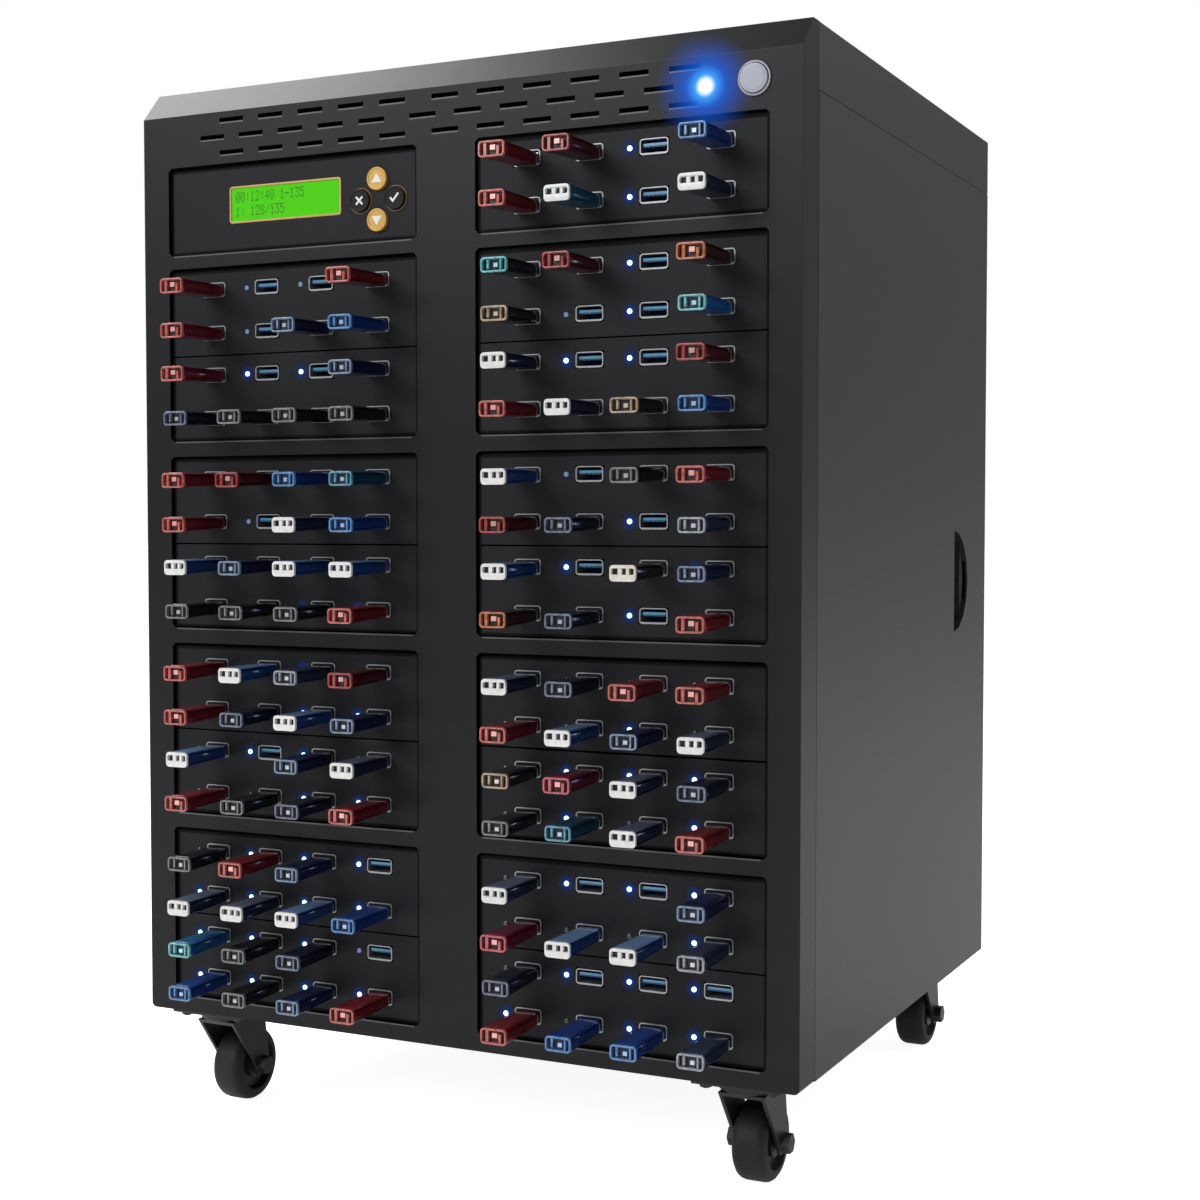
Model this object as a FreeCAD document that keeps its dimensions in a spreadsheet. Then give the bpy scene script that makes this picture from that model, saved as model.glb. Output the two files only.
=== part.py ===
import FreeCAD, Part
import math
import os
import re

import Sketcher
from FreeCAD import Placement, Rotation, Vector

# USB drive duplicator: a wide tower case on four casters. Two columns of 5.25-inch bays hold a
# control panel and seventeen modules of eight USB sockets each, and most sockets hold a stick.
#
# Cabinet frame, used by every sketch below: X is centred on the case, Y = 0 is the face of the
# front bezel and grows towards the back, Z = 0 is the underside of the case. The whole cabinet
# frame is then seated above the floor, so that Z = 0 of the model is where the casters stand.

DIMENSIONS = (
    # alias, value or formula, what it is (mm)
    ("case_width", "360.6", "over the side panels"),
    ("body_height", "477.5", "underside of the case to the top cover"),
    ("case_depth", "320", "face of the bezel to the rear edges"),
    ("ground_clearance", "54", "floor to the underside, the height of a caster"),
    ("sheet", "1.2", "steel sheet of the case"),
    ("base_sheet", "1.5", "steel sheet of the base pan"),
    ("bezel_depth", "20.5", "depth of the moulded front"),
    ("bezel_wall", "3", "wall of the moulded front"),
    ("bevel_rise", "14.7", "height of the bevel along the top of the bezel"),
    ("bevel_run", "12.8", "depth of that bevel"),
    ("column_x", "90.4", "centre of each column of bays from the middle"),
    ("bay_width", "148.5", "clear width of a bay opening"),
    ("bay_bottom", "8.2", "underside to the lowest opening"),
    ("bay_pitch", "96.1", "one double opening to the next"),
    ("bay_height", "88.4", "height of an opening for two modules"),
    ("bay_corner", "1.8", "cut corners of the openings"),
    ("top_bay_bottom", "391.6", "underside to the two openings at the top"),
    ("top_bay_height", "45", "height of an opening for one module"),
    ("plate_gap", "0.7", "gap beside and under a faceplate"),
    ("plate_top_gap", "1.8", "gap over the highest faceplate of an opening"),
    ("plate_setback", "2", "faceplate behind the bezel's face"),
    ("plate_thick", "2.5", "faceplate thickness"),
    ("plate_height", "=(bay_height - plate_top_gap - 2 * plate_gap) / 2", "height of a faceplate"),
    ("plate_width", "=bay_width - 2 * plate_gap", "width of a faceplate"),
    ("port_pitch_x", "32.6", "sockets across a module"),
    ("port_pitch_z", "22", "socket rows"),
    ("port_shift_x", "1.5", "socket pattern right of the module's middle"),
    ("port_shift_z", "0.7", "socket pattern above the module's middle"),
    ("socket_width", "14.2", "shell of a USB socket"),
    ("socket_height", "7.4", "shell of a USB socket"),
    ("socket_depth", "14", "shell of a USB socket"),
    ("socket_wall", "0.8", "shell of a USB socket"),
    ("socket_proud", "0.4", "shell in front of its faceplate"),
    ("port_clearance", "0.3", "faceplate cut-out round a shell"),
    ("tongue_width", "11.2", "contact tongue"),
    ("tongue_thick", "1.9", "contact tongue"),
    ("tongue_length", "9", "contact tongue"),
    ("tongue_rise", "0.9", "tongue above the middle of the socket"),
    ("lens_size", "2.4", "side of a status light's lens"),
    ("lens_proud", "0.9", "lens in front of the faceplate"),
    ("lens_offset", "12.1", "lens left of its socket"),
    ("board_thick", "1.6", "circuit boards"),
    ("tray_width", "146.4", "module tray"),
    ("tray_depth", "130", "module tray"),
    ("tray_sheet", "1", "module tray"),
    ("cage_height", "438.5", "top of the bay cage"),
    ("cage_back", "150", "rear edge of the bay cage"),
    ("cover_flange", "30", "side flanges of the top cover"),
    ("panel_gap", "0.4", "gap round a side panel"),
    ("rear_face", "318.6", "outer face of the rear panel"),
    ("panel_lip", "12", "folded edges of a side panel"),
    ("grip_radius", "28.5", "half-round finger grip of a side panel"),
    ("grip_front", "252.5", "straight edge of that grip"),
    ("grip_height", "222", "middle of that grip"),
    ("grip_depth", "7.2", "deepest step of that grip"),
    ("slot_length", "14.6", "vent slot in the bezel"),
    ("slot_height", "2.2", "vent slot in the bezel"),
    ("slot_pitch_left", "23.8", "left group of slots"),
    ("slot_pitch_right", "24.8", "right group of slots"),
    ("slot_row_pitch", "8.15", "one row of slots to the next"),
    ("slot_top_row", "458.5", "middle of the highest row of slots"),
    ("button_x", "157.5", "power button"),
    ("button_z", "450.4", "power button"),
    ("button_radius", "6.5", "power button"),
    ("button_clearance", "0.1", "power button in its ring"),
    ("ring_radius", "8", "power button's ring"),
    ("light_x", "134.2", "power light"),
    ("light_size", "4.4", "side of the power light's lens"),
    ("lcd_left", "-126.7", "left edge of the display window"),
    ("lcd_bottom", "407.3", "lower edge of the display window"),
    ("lcd_width", "65.2", "display window"),
    ("lcd_height", "16.6", "display window"),
    ("key_x", "-39", "middle of the four keys"),
    ("key_z", "412.1", "middle of the four keys"),
    ("key_spread", "10", "keys from their middle"),
    ("key_radius", "5.6", "keycap"),
    ("key_clearance", "0.2", "keycap in its hole"),
    ("key_proud", "1.8", "keycap in front of the control panel"),
    ("caster_x", "148", "swivel axis from the middle"),
    ("caster_front_y", "24", "front swivel axes"),
    ("caster_rear_y", "283", "rear swivel axes"),
    ("caster_trail", "13", "wheel axle behind the swivel axis"),
    ("wheel_radius", "19", "caster wheel"),
    ("wheel_width", "17", "caster wheel"),
    ("axle_radius", "3", "caster axle"),
    ("running_fit", "0.05", "radial clearance of a turning part"),
    ("psu_width", "150", "power supply"),
    ("psu_height", "86", "power supply"),
    ("psu_depth", "140", "power supply"),
    ("psu_left", "-168", "power supply"),
    ("psu_bottom", "386", "power supply"),
    ("fan_size", "120", "exhaust fan"),
    ("fan_depth", "25", "exhaust fan"),
    ("fan_x", "92", "exhaust fan"),
    ("fan_z", "385", "exhaust fan"),
    ("screw_head", "5", "length of a thumbscrew's head"),
    ("stick_reach", "33", "longest stick in front of the bezel"),
    ("stick_root_width", "12.6", "stick where it meets its socket"),
    ("stick_root_height", "6.2", "stick where it meets its socket"),
    ("stick_droop", "1.6", "how far the play in its socket lets a stick's tip hang"),
    ("front_y", "=-(case_depth + screw_head - stick_reach) / 2", "bezel's face in the model"),
)

# What each socket holds, one letter a socket and one string a row, from the top down:
# R red stick, B blue stick, K black stick, W white-ended stick, S the source stick, . empty.
LEFT_ROWS = (
    "R..R", "R.BB", "R..B", "KKKK",
    "RRBB", "R.WB", "WBWW", "KKKR",
    "RWBR", "RKWB", "W.BW", "RKKR",
    "KRB.", "WWWB", "BKK.", "BKBR",
)
RIGHT_ROWS = (
    "SR.B", "RW.W",
    "KR.R", "K..B", "W..R", "RWKB",
    "W.KR", "RK.B", "W.WB", "RK.R",
    "WKRR", "RWBW", "KRWK", "KBWR",
    "W..B", "RWWB", "K...", "RBBB",
)
STICKS = {
    # letter: (node, reach in front of the bezel, width and height at the tip), mm
    "R": ("red_sticks", 33.0, 13.4, 7.4),
    "B": ("blue_sticks", 31.5, 13.0, 7.0),
    "K": ("black_sticks", 31.0, 13.6, 7.0),
    "W": ("white_ended_sticks", 32.0, 12.8, 7.4),
    "S": ("source_stick", 33.0, 13.4, 7.4),
}
DOUBLE_BAYS = 4
SOCKETS_ACROSS = 4
GRIP_FLATS = 8
DUCT_FLATS = 32
CASTERS = ("front_left", "front_right", "rear_left", "rear_right")

doc = FreeCAD.newDocument("drive_duplicator")
sheet = doc.addObject("Spreadsheet::Sheet", "dims")
nodes = []
ALIASES = [row[0] for row in DIMENSIONS]


def fill_sheet():
    """Write the driving dimensions into the sheet, with their aliases."""
    for row, (alias, value, meaning) in enumerate(DIMENSIONS, start=1):
        sheet.set(f"A{row}", meaning)
        sheet.set(f"B{row}", value)
        sheet.setAlias(f"B{row}", alias)
    doc.recompute()


def expand(formula):
    """Turn a formula in plain aliases into one that reads them from the sheet."""
    words = r"\b(" + "|".join(ALIASES) + r")\b"
    return re.sub(words, r"dims.\1", str(formula))


def size(formula):
    """The present value of a formula in plain aliases."""
    return float(sheet.evalExpression(expand(formula)))


def bind(item, **formulas):
    """Bind properties to formulas in plain aliases."""
    for name, formula in formulas.items():
        item.setExpression(name, expand(formula))


def keep(item, label, y="0", z="0"):
    """Name a finished sub-part, stand it in its place above the floor and list it for export.

    y and z are where its own origin lies in the cabinet frame."""
    item.Label = label
    item.setExpression(".Placement.Base.y", expand(f"front_y + {y}"))
    item.setExpression(".Placement.Base.z", expand(f"ground_clearance + {z}"))
    nodes.append(item)
    return item


# ---------------------------------------------------------------- sketches and features


def new_body(name):
    return doc.addObject("PartDesign::Body", name + "_body")


def new_sketch(body, role, offset="0"):
    """A sketch on one of the body's own origin planes, moved along that plane's normal."""
    sketch = body.newObject("Sketcher::SketchObject", body.Name + "_sketch")
    plane = next(item for item in body.Origin.OriginFeatures if item.Role == role)
    sketch.AttachmentSupport = [(plane, "")]
    sketch.MapMode = "FlatFace"
    sketch.setExpression(".AttachmentOffset.Base.z", expand(offset))
    return sketch


def hold(sketch, kind, geometry, point, formula):
    """Fix one coordinate of a sketch point by a formula."""
    value = size(formula)
    index = sketch.addConstraint(Sketcher.Constraint(kind, -1, 1, geometry, point, value))
    sketch.setExpression(f"Constraints[{index}]", expand(formula))


def outline(sketch, points):
    """A closed polygon whose corners are given as pairs of formulas."""
    corners = [Vector(size(x), size(y), 0) for x, y in points]
    first = sketch.GeometryCount
    count = len(corners)
    for index, corner in enumerate(corners):
        sketch.addGeometry(Part.LineSegment(corner, corners[(index + 1) % count]), False)
    for index, (x, y) in enumerate(points):
        following = first + (index + 1) % count
        joint = Sketcher.Constraint("Coincident", first + index, 2, following, 1)
        sketch.addConstraint(joint)
        hold(sketch, "DistanceX", first + index, 1, x)
        hold(sketch, "DistanceY", first + index, 1, y)


def rectangle(sketch, left, low, right, high):
    outline(sketch, ((left, low), (right, low), (right, high), (left, high)))


def circle(sketch, x, y, radius):
    """A circle whose centre and radius are given as formulas."""
    centre = Vector(size(x), size(y), 0)
    round_edge = Part.Circle(centre, Vector(0, 0, 1), size(radius))
    index = sketch.addGeometry(round_edge, False)
    hold(sketch, "DistanceX", index, 3, x)
    hold(sketch, "DistanceY", index, 3, y)
    fixed = sketch.addConstraint(Sketcher.Constraint("Radius", index, size(radius)))
    sketch.setExpression(f"Constraints[{fixed}]", expand(radius))


def extrude(body, kind, sketch, length, reversed_way=False, symmetric=False):
    """A Pad or a Pocket of a sketch."""
    feature = body.newObject("PartDesign::" + kind, body.Name + "_" + kind.lower())
    feature.Profile = sketch
    feature.Reversed = reversed_way
    if symmetric:
        feature.SideType = "Symmetric"
    bind(feature, Length=length)
    return feature


def cut(body, sketch, length, reversed_way=False, symmetric=False):
    """A Pocket, which has to take material away."""
    doc.recompute()
    before = body.Shape.Volume
    feature = extrude(body, "Pocket", sketch, length, reversed_way, symmetric)
    doc.recompute()
    if body.Shape.Volume >= before:
        raise RuntimeError(f"{body.Name}: {feature.Name} cuts nothing")
    return feature


def pad_back(body, sketch, length):
    """Pad a sketch on an XZ plane towards the back of the case."""
    return extrude(body, "Pad", sketch, length, reversed_way=True)


def cut_back(body, sketch, length):
    """Pocket a sketch on an XZ plane towards the back of the case."""
    return cut(body, sketch, length)


def turned(body, kind, sketch, axis_role):
    """A full Revolution or Groove about one of the body's own axes."""
    feature = body.newObject("PartDesign::" + kind, body.Name + "_" + kind.lower())
    feature.Profile = sketch
    axis = next(item for item in body.Origin.OriginFeatures if item.Role == axis_role)
    feature.ReferenceAxis = (axis, [""])
    feature.Angle = 360
    return feature


def repeat_in_line(body, feature, axis_role, pitch, count, reversed_way=False):
    """Copies of a feature at an even pitch along one of the body's axes."""
    pattern = body.newObject("PartDesign::LinearPattern", body.Name + "_row")
    pattern.Originals = [feature]
    axis = next(item for item in body.Origin.OriginFeatures if item.Role == axis_role)
    pattern.Direction = (axis, [""])
    pattern.Mode = "Spacing"
    pattern.Reversed = reversed_way
    bind(pattern, Offset=pitch)
    pattern.Occurrences = count
    body.Tip = pattern
    return pattern


def repeat_round(body, feature, axis_role, count):
    """Copies of a feature evenly round one of the body's axes."""
    pattern = body.newObject("PartDesign::PolarPattern", body.Name + "_ring")
    pattern.Originals = [feature]
    axis = next(item for item in body.Origin.OriginFeatures if item.Role == axis_role)
    pattern.Axis = (axis, [""])
    pattern.Angle = 360
    pattern.Occurrences = count
    body.Tip = pattern
    return pattern


def dress(body, kind, edges, amount):
    """A Fillet or a Chamfer on the edges of the body's last feature."""
    doc.recompute()
    last = body.Tip
    names = [f"Edge{i}" for i, edge in enumerate(last.Shape.Edges, start=1) if edges(edge)]
    feature = body.newObject("PartDesign::" + kind, body.Name + "_" + kind.lower())
    feature.Base = (last, names)
    bind(feature, **{"Radius" if kind == "Fillet" else "Size": amount})
    return feature


def block(name, corner, sizes):
    """A Part::Box at a corner, all six values being formulas."""
    box = doc.addObject("Part::Box", name)
    bind(box, Length=sizes[0], Width=sizes[1], Height=sizes[2])
    for axis, formula in zip("xyz", corner):
        box.setExpression(f".Placement.Base.{axis}", expand(formula))
    return box


def group(label, shapes):
    """One node that holds several separate like solids."""
    item = doc.addObject("Part::Feature", label)
    item.Shape = Part.makeCompound(shapes)
    return keep(item, label)


# ---------------------------------------------------------------- where the modules sit


def plate_base(bay, upper):
    """Underside of a faceplate in a double opening, counted from the bottom."""
    low = size(f"bay_bottom + plate_gap + {bay} * bay_pitch")
    return low + size("plate_height + plate_gap") * upper


def top_plate_base():
    """Underside of the faceplate in each of the two single openings at the top."""
    return size("top_bay_bottom + plate_gap")


def modules():
    """Every USB module: column name, opening number from the top, middle, underside, rows."""
    left, right = -size("column_x"), size("column_x")
    yield "right", 1, right, top_plate_base(), RIGHT_ROWS[:2]
    for side, x, rows, first in (("left", left, LEFT_ROWS, 1), ("right", right, RIGHT_ROWS[2:], 2)):
        for opening in range(DOUBLE_BAYS):
            for place in range(2):
                start = 4 * opening + 2 * place
                base = plate_base(DOUBLE_BAYS - 1 - opening, upper=1 - place)
                yield side, first + opening, x, base, rows[start:start + 2]


def sockets():
    """Every USB socket: the middle of its mouth across and up, and what it holds."""
    for _side, _opening, x, base, rows in modules():
        middle = base + size("plate_height / 2 + port_shift_z")
        for row, holds in enumerate(rows):
            z = middle + size("port_pitch_z") * (0.5 - row)
            for place, letter in enumerate(holds):
                step = place - (SOCKETS_ACROSS - 1) / 2
                yield x + size("port_shift_x") + size("port_pitch_x") * step, z, letter


# ---------------------------------------------------------------- case


def front_bezel():
    """Moulded front: a tray with a bevelled top, ten bay openings and three rows of slots."""
    body = new_body("front_bezel")
    profile = new_sketch(body, "YZ_Plane")
    bevel_low = "body_height - bevel_rise"
    outline(profile, (
        ("0", "0"), ("bezel_depth", "0"), ("bezel_depth", "body_height"),
        ("bevel_run", "body_height"), ("0", bevel_low),
    ))
    extrude(body, "Pad", profile, "case_width", symmetric=True)
    inside = new_sketch(body, "YZ_Plane")
    inner_top = "body_height - bezel_wall"
    outline(inside, (
        ("bezel_wall", "bezel_wall"), ("bezel_depth", "bezel_wall"),
        ("bezel_depth", inner_top), ("bevel_run + bezel_wall / 2", inner_top),
        ("bezel_wall", "body_height - bevel_rise - bezel_wall / 2"),
    ))
    cut(body, inside, "case_width - 2 * bezel_wall", symmetric=True)
    for side in ("-column_x", "column_x"):
        openings = new_sketch(body, "XZ_Plane")
        left, right = f"{side} - bay_width / 2", f"{side} + bay_width / 2"
        rectangle(openings, left, "top_bay_bottom", right, "top_bay_bottom + top_bay_height")
        for bay in range(DOUBLE_BAYS):
            low = f"bay_bottom + {bay} * bay_pitch"
            rectangle(openings, left, low, right, f"{low} + bay_height")
        cut_back(body, openings, "bezel_wall")
    opening_half = size("bay_width / 2")
    columns = (-size("column_x"), size("column_x"))

    def opening_corner(edge):
        box = edge.BoundBox
        across = min(abs(abs(box.Center.x - x) - opening_half) for x in columns)
        upright = box.XLength < 1e-3 and box.ZLength < 1e-3
        return upright and across < 1e-3 and abs(box.YLength - size("bezel_wall")) < 1e-3

    dress(body, "Chamfer", opening_corner, "bay_corner")
    # The slots stand in two groups; the middle row is set half a pitch to the left.
    for row, shift in ((0, 0.0), (1, -0.5), (2, 0.0)):
        groups = ((-124.9, "slot_pitch_left", 5), (-0.3, "slot_pitch_right", 6))
        for first_x, pitch, count in groups:
            slot = new_sketch(body, "XZ_Plane")
            x = f"({first_x} + {shift} * {pitch})"
            z = f"slot_top_row - {row} * slot_row_pitch"
            rectangle(slot, f"{x} - slot_length / 2", f"{z} - slot_height / 2",
                      f"{x} + slot_length / 2", f"{z} + slot_height / 2")
            first = cut_back(body, slot, "bezel_wall")
            repeat_in_line(body, first, "X_Axis", pitch, count)
    button_hole = new_sketch(body, "XZ_Plane")
    circle(button_hole, "button_x", "button_z", "ring_radius")
    light_z = "(button_z - 1.2)"
    rectangle(button_hole, "light_x - light_size / 2", f"{light_z} - light_size / 2",
              "light_x + light_size / 2", f"{light_z} + light_size / 2")
    cut_back(body, button_hole, "bezel_wall")
    keep(body, "front_bezel")


def base_pan():
    """Floor of the case, with its two long edges turned up inside the side panels."""
    body = new_body("base_pan")
    section = new_sketch(body, "XZ_Plane", "-bezel_depth")
    half = "(case_width / 2 - sheet - 0.2)"
    lip = "base_sheet + 14"
    outline(section, (
        (f"-{half}", "0"), (half, "0"), (half, lip), (f"{half} - base_sheet", lip),
        (f"{half} - base_sheet", "base_sheet"), (f"-{half} + base_sheet", "base_sheet"),
        (f"-{half} + base_sheet", lip), (f"-{half}", lip),
    ))
    pad_back(body, section, "rear_face - bezel_depth")
    keep(body, "base_pan")


def top_cover():
    """Top of the case, folded down along both sides over the side panels' upper edges."""
    body = new_body("top_cover")
    section = new_sketch(body, "XZ_Plane", "-bezel_depth")
    half = "(case_width / 2)"
    low = "body_height - cover_flange"
    outline(section, (
        (f"-{half}", low), (f"-{half} + sheet", low),
        (f"-{half} + sheet", "body_height - sheet"), (f"{half} - sheet", "body_height - sheet"),
        (f"{half} - sheet", low), (half, low), (half, "body_height"), (f"-{half}", "body_height"),
    ))
    pad_back(body, section, "case_depth - bezel_depth")
    keep(body, "top_cover")


def rear_panel():
    """Back of the case: windows for the power supply, slots for the fan and the cage's air."""
    body = new_body("rear_panel")
    face = new_sketch(body, "XZ_Plane", "-(rear_face - sheet)")
    half = "(case_width / 2 - sheet - base_sheet - 0.4)"
    rectangle(face, f"-{half}", "base_sheet", half, "body_height - sheet")
    pad_back(body, face, "sheet")
    window = new_sketch(body, "XZ_Plane", "-(rear_face - sheet)")
    rectangle(window, "psu_left + 5", "psu_bottom + 4",
              "psu_left + psu_width - 5", "psu_bottom + psu_height - 4")
    cut_back(body, window, "sheet")
    grille = new_sketch(body, "XZ_Plane", "-(rear_face - sheet)")
    radius = size("fan_size") / 2 - 4
    for step in range(-5, 6):
        level = step * 10.0
        reach = round((radius ** 2 - level ** 2) ** 0.5, 1)
        rectangle(grille, f"fan_x - {reach}", f"fan_z + {level} - 2.5",
                  f"fan_x + {reach}", f"fan_z + {level} + 2.5")
    cut_back(body, grille, "sheet")
    keep(body, "rear_panel")


def polygon(radius, count):
    """Corners of a regular polygon round 0, 0."""
    turns = [2 * math.pi * step / count for step in range(count)]
    return [(round(radius * math.cos(turn), 3), round(radius * math.sin(turn), 3))
            for turn in turns]


def half_round(radius, flats):
    """Corners of a half-round outline, its straight edge upright at 0 and its middle at 0."""
    turns = [math.pi * (step / flats - 0.5) for step in range(flats + 1)]
    return [(round(radius * math.cos(turn), 3), round(radius * math.sin(turn), 3))
            for turn in turns]


def finger_grip(body, sign):
    """Stamped half-round grip whose floor steps up towards the back, for sliding the panel."""
    radius = size("grip_radius")
    outer, inner = f"{sign} * case_width / 2", f"{sign} * (case_width / 2 - sheet)"
    boss = new_sketch(body, "YZ_Plane", inner)
    outline(boss, [(f"grip_front - sheet + {y}", f"grip_height + {z}")
                   for y, z in half_round(radius + size("sheet"), GRIP_FLATS)])
    extrude(body, "Pad", boss, "grip_depth", reversed_way=sign > 0)
    curve = half_round(radius, GRIP_FLATS)
    # Each deeper step keeps to the front part of the half-round.
    for depth, reach in ((1, 30), (2, 22), (3, 15)):
        corners = [point for point in curve if point[0] < reach]
        terrace = new_sketch(body, "YZ_Plane", outer)
        outline(terrace, [(f"grip_front + {y}", f"grip_height + {z}") for y, z in corners])
        cut(body, terrace, f"grip_depth * {depth} / 3", reversed_way=sign < 0)


def side_panel(label, sign):
    """Side of the case: a sheet folded in at the front and the back, with a finger grip."""
    body = new_body(label)
    outer = f"({sign} * case_width / 2)"
    inner = f"({sign} * (case_width / 2 - sheet))"
    lip = f"({sign} * (case_width / 2 - panel_lip))"
    front = "(bezel_depth + panel_gap)"
    section = new_sketch(body, "XY_Plane", "2 * panel_gap")
    outline(section, (
        (outer, front), (outer, "case_depth"), (lip, "case_depth"),
        (lip, "case_depth - sheet"), (inner, "case_depth - sheet"),
        (inner, f"{front} + sheet"), (lip, f"{front} + sheet"), (lip, front),
    ))
    extrude(body, "Pad", section, "body_height - cover_flange - 3 * panel_gap")
    finger_grip(body, sign)
    clearance = new_sketch(body, "XZ_Plane")
    rectangle(clearance, inner, "0", lip, "base_sheet + 15")
    cut_back(body, clearance, "case_depth")
    keep(body, label)


def drive_cage():
    """Welded cage that the module trays slide into: three cells between four walls."""
    body = new_body("drive_cage")
    outer = new_sketch(body, "XZ_Plane", "-bezel_depth")
    half_tray = "tray_width / 2"
    rectangle(outer, f"-column_x - {half_tray} - sheet", "base_sheet",
              f"column_x + {half_tray} + sheet", "cage_height + sheet")
    pad_back(body, outer, "cage_back - bezel_depth")
    cells = new_sketch(body, "XZ_Plane", "-bezel_depth")
    low, high = "base_sheet + sheet", "cage_height"
    rectangle(cells, f"-column_x - {half_tray}", low, f"-column_x + {half_tray}", high)
    rectangle(cells, f"-column_x + {half_tray} + sheet", low,
              f"column_x - {half_tray} - sheet", high)
    rectangle(cells, f"column_x - {half_tray}", low, f"column_x + {half_tray}", high)
    cut_back(body, cells, "cage_back - bezel_depth")
    keep(body, "drive_cage")


# ---------------------------------------------------------------- modules


def module_faceplate():
    """One faceplate at the origin of its own frame, before its socket cut-outs."""
    return block("module_faceplate", ("-plate_width / 2", "plate_setback", "0"),
                 ("plate_width", "plate_thick", "plate_height"))


def socket_cut_out():
    """Cut-out that a free socket's shell passes through, centred on the Y axis."""
    half_width = "(socket_width / 2 + port_clearance)"
    half_height = "(socket_height / 2 + port_clearance)"
    return block("socket_cut_out", (f"-{half_width}", "plate_setback - 1", f"-{half_height}"),
                 (f"2 * {half_width}", "plate_thick + 2", f"2 * {half_height}"))


def module_tray():
    """Sheet-metal tray behind a faceplate: a floor and two walls."""
    body = new_body("module_tray")
    section = new_sketch(body, "XZ_Plane", "-(plate_setback + plate_thick)")
    half = "tray_width / 2"
    top = "plate_height - 1"
    outline(section, (
        (f"-{half}", "0"), (half, "0"), (half, top), (f"{half} - tray_sheet", top),
        (f"{half} - tray_sheet", "tray_sheet"), (f"-{half} + tray_sheet", "tray_sheet"),
        (f"-{half} + tray_sheet", top), (f"-{half}", top),
    ))
    pad_back(body, section, "tray_depth")
    return body


def usb_socket():
    """Steel shell of a free socket, its mouth centred on the Y axis."""
    mouth = "plate_setback - socket_proud"
    socket = doc.addObject("Part::Cut", "socket")
    socket.Base = block("socket_shell", ("-socket_width / 2", mouth, "-socket_height / 2"),
                        ("socket_width", "socket_depth", "socket_height"))
    socket.Tool = block(
        "socket_cavity",
        ("-socket_width / 2 + socket_wall", mouth, "-socket_height / 2 + socket_wall"),
        ("socket_width - 2 * socket_wall", "socket_depth - socket_wall",
         "socket_height - 2 * socket_wall"))
    return socket


def filled_socket():
    """Rim, in front of the faceplate, of a socket that a loaded stick fills."""
    return block("filled_socket",
                 ("-socket_width / 2", "plate_setback - socket_proud", "-socket_height / 2"),
                 ("socket_width", "socket_proud", "socket_height"))


def socket_tongue():
    """Contact tongue, standing on the back wall of the shell."""
    back = "plate_setback - socket_proud + socket_depth - socket_wall"
    return block("tongue", ("-tongue_width / 2", f"{back} - tongue_length",
                            "tongue_rise - tongue_thick / 2"),
                 ("tongue_width", "tongue_length", "tongue_thick"))


def status_lens():
    """Lens of a status light: a small pyramid on the plate, to the left of its socket."""
    lens = doc.addObject("Part::Wedge", "lens")
    half, middle = size("lens_size / 2"), size("lens_offset")
    lens.Xmin, lens.Xmax, lens.Zmin, lens.Zmax = middle - half, middle + half, -half, half
    lens.X2min, lens.X2max, lens.Z2min, lens.Z2max = middle, middle, 0, 0
    lens.Ymin, lens.Ymax = 0, size("lens_proud")
    lens.Placement = Placement(Vector(0, size("plate_setback"), 0),
                               Rotation(Vector(0, 0, 1), 180))
    return lens


def stick_shape(reach, width, height):
    """A stick's body, wider and a little lower at its tip than at its socket."""
    stick = doc.addObject("Part::Wedge", "stick")
    droop = size("stick_droop")
    root_half_width, root_half_height = size("stick_root_width / 2"), size("stick_root_height / 2")
    stick.Xmin, stick.Xmax = -width / 2, width / 2
    stick.Zmin, stick.Zmax = -height / 2 - droop, height / 2 - droop
    stick.Ymin, stick.Ymax = -reach, size("plate_setback - socket_proud")
    stick.X2min, stick.X2max = -root_half_width, root_half_width
    stick.Z2min, stick.Z2max = -root_half_height, root_half_height
    return stick


def plugged_stick(housing):
    """The source stick: its housing with the plug, whose upper half is open for the tongue."""
    root = "(plate_setback - socket_proud)"
    shell = block("plug_shell", ("-6", root, "-2.25"), ("12", "11.75", "4.5"))
    cavity = block("plug_cavity", ("-5.7", f"{root} + 1", "tongue_rise - tongue_thick / 2 - 0.1"),
                   ("11.4", "10.75", "tongue_thick + 0.2"))
    plug = doc.addObject("Part::Cut", "plug")
    plug.Base = shell
    plug.Tool = cavity
    stick = doc.addObject("Part::Fuse", "plugged_stick")
    stick.Base = housing
    stick.Tool = plug
    return stick


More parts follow.
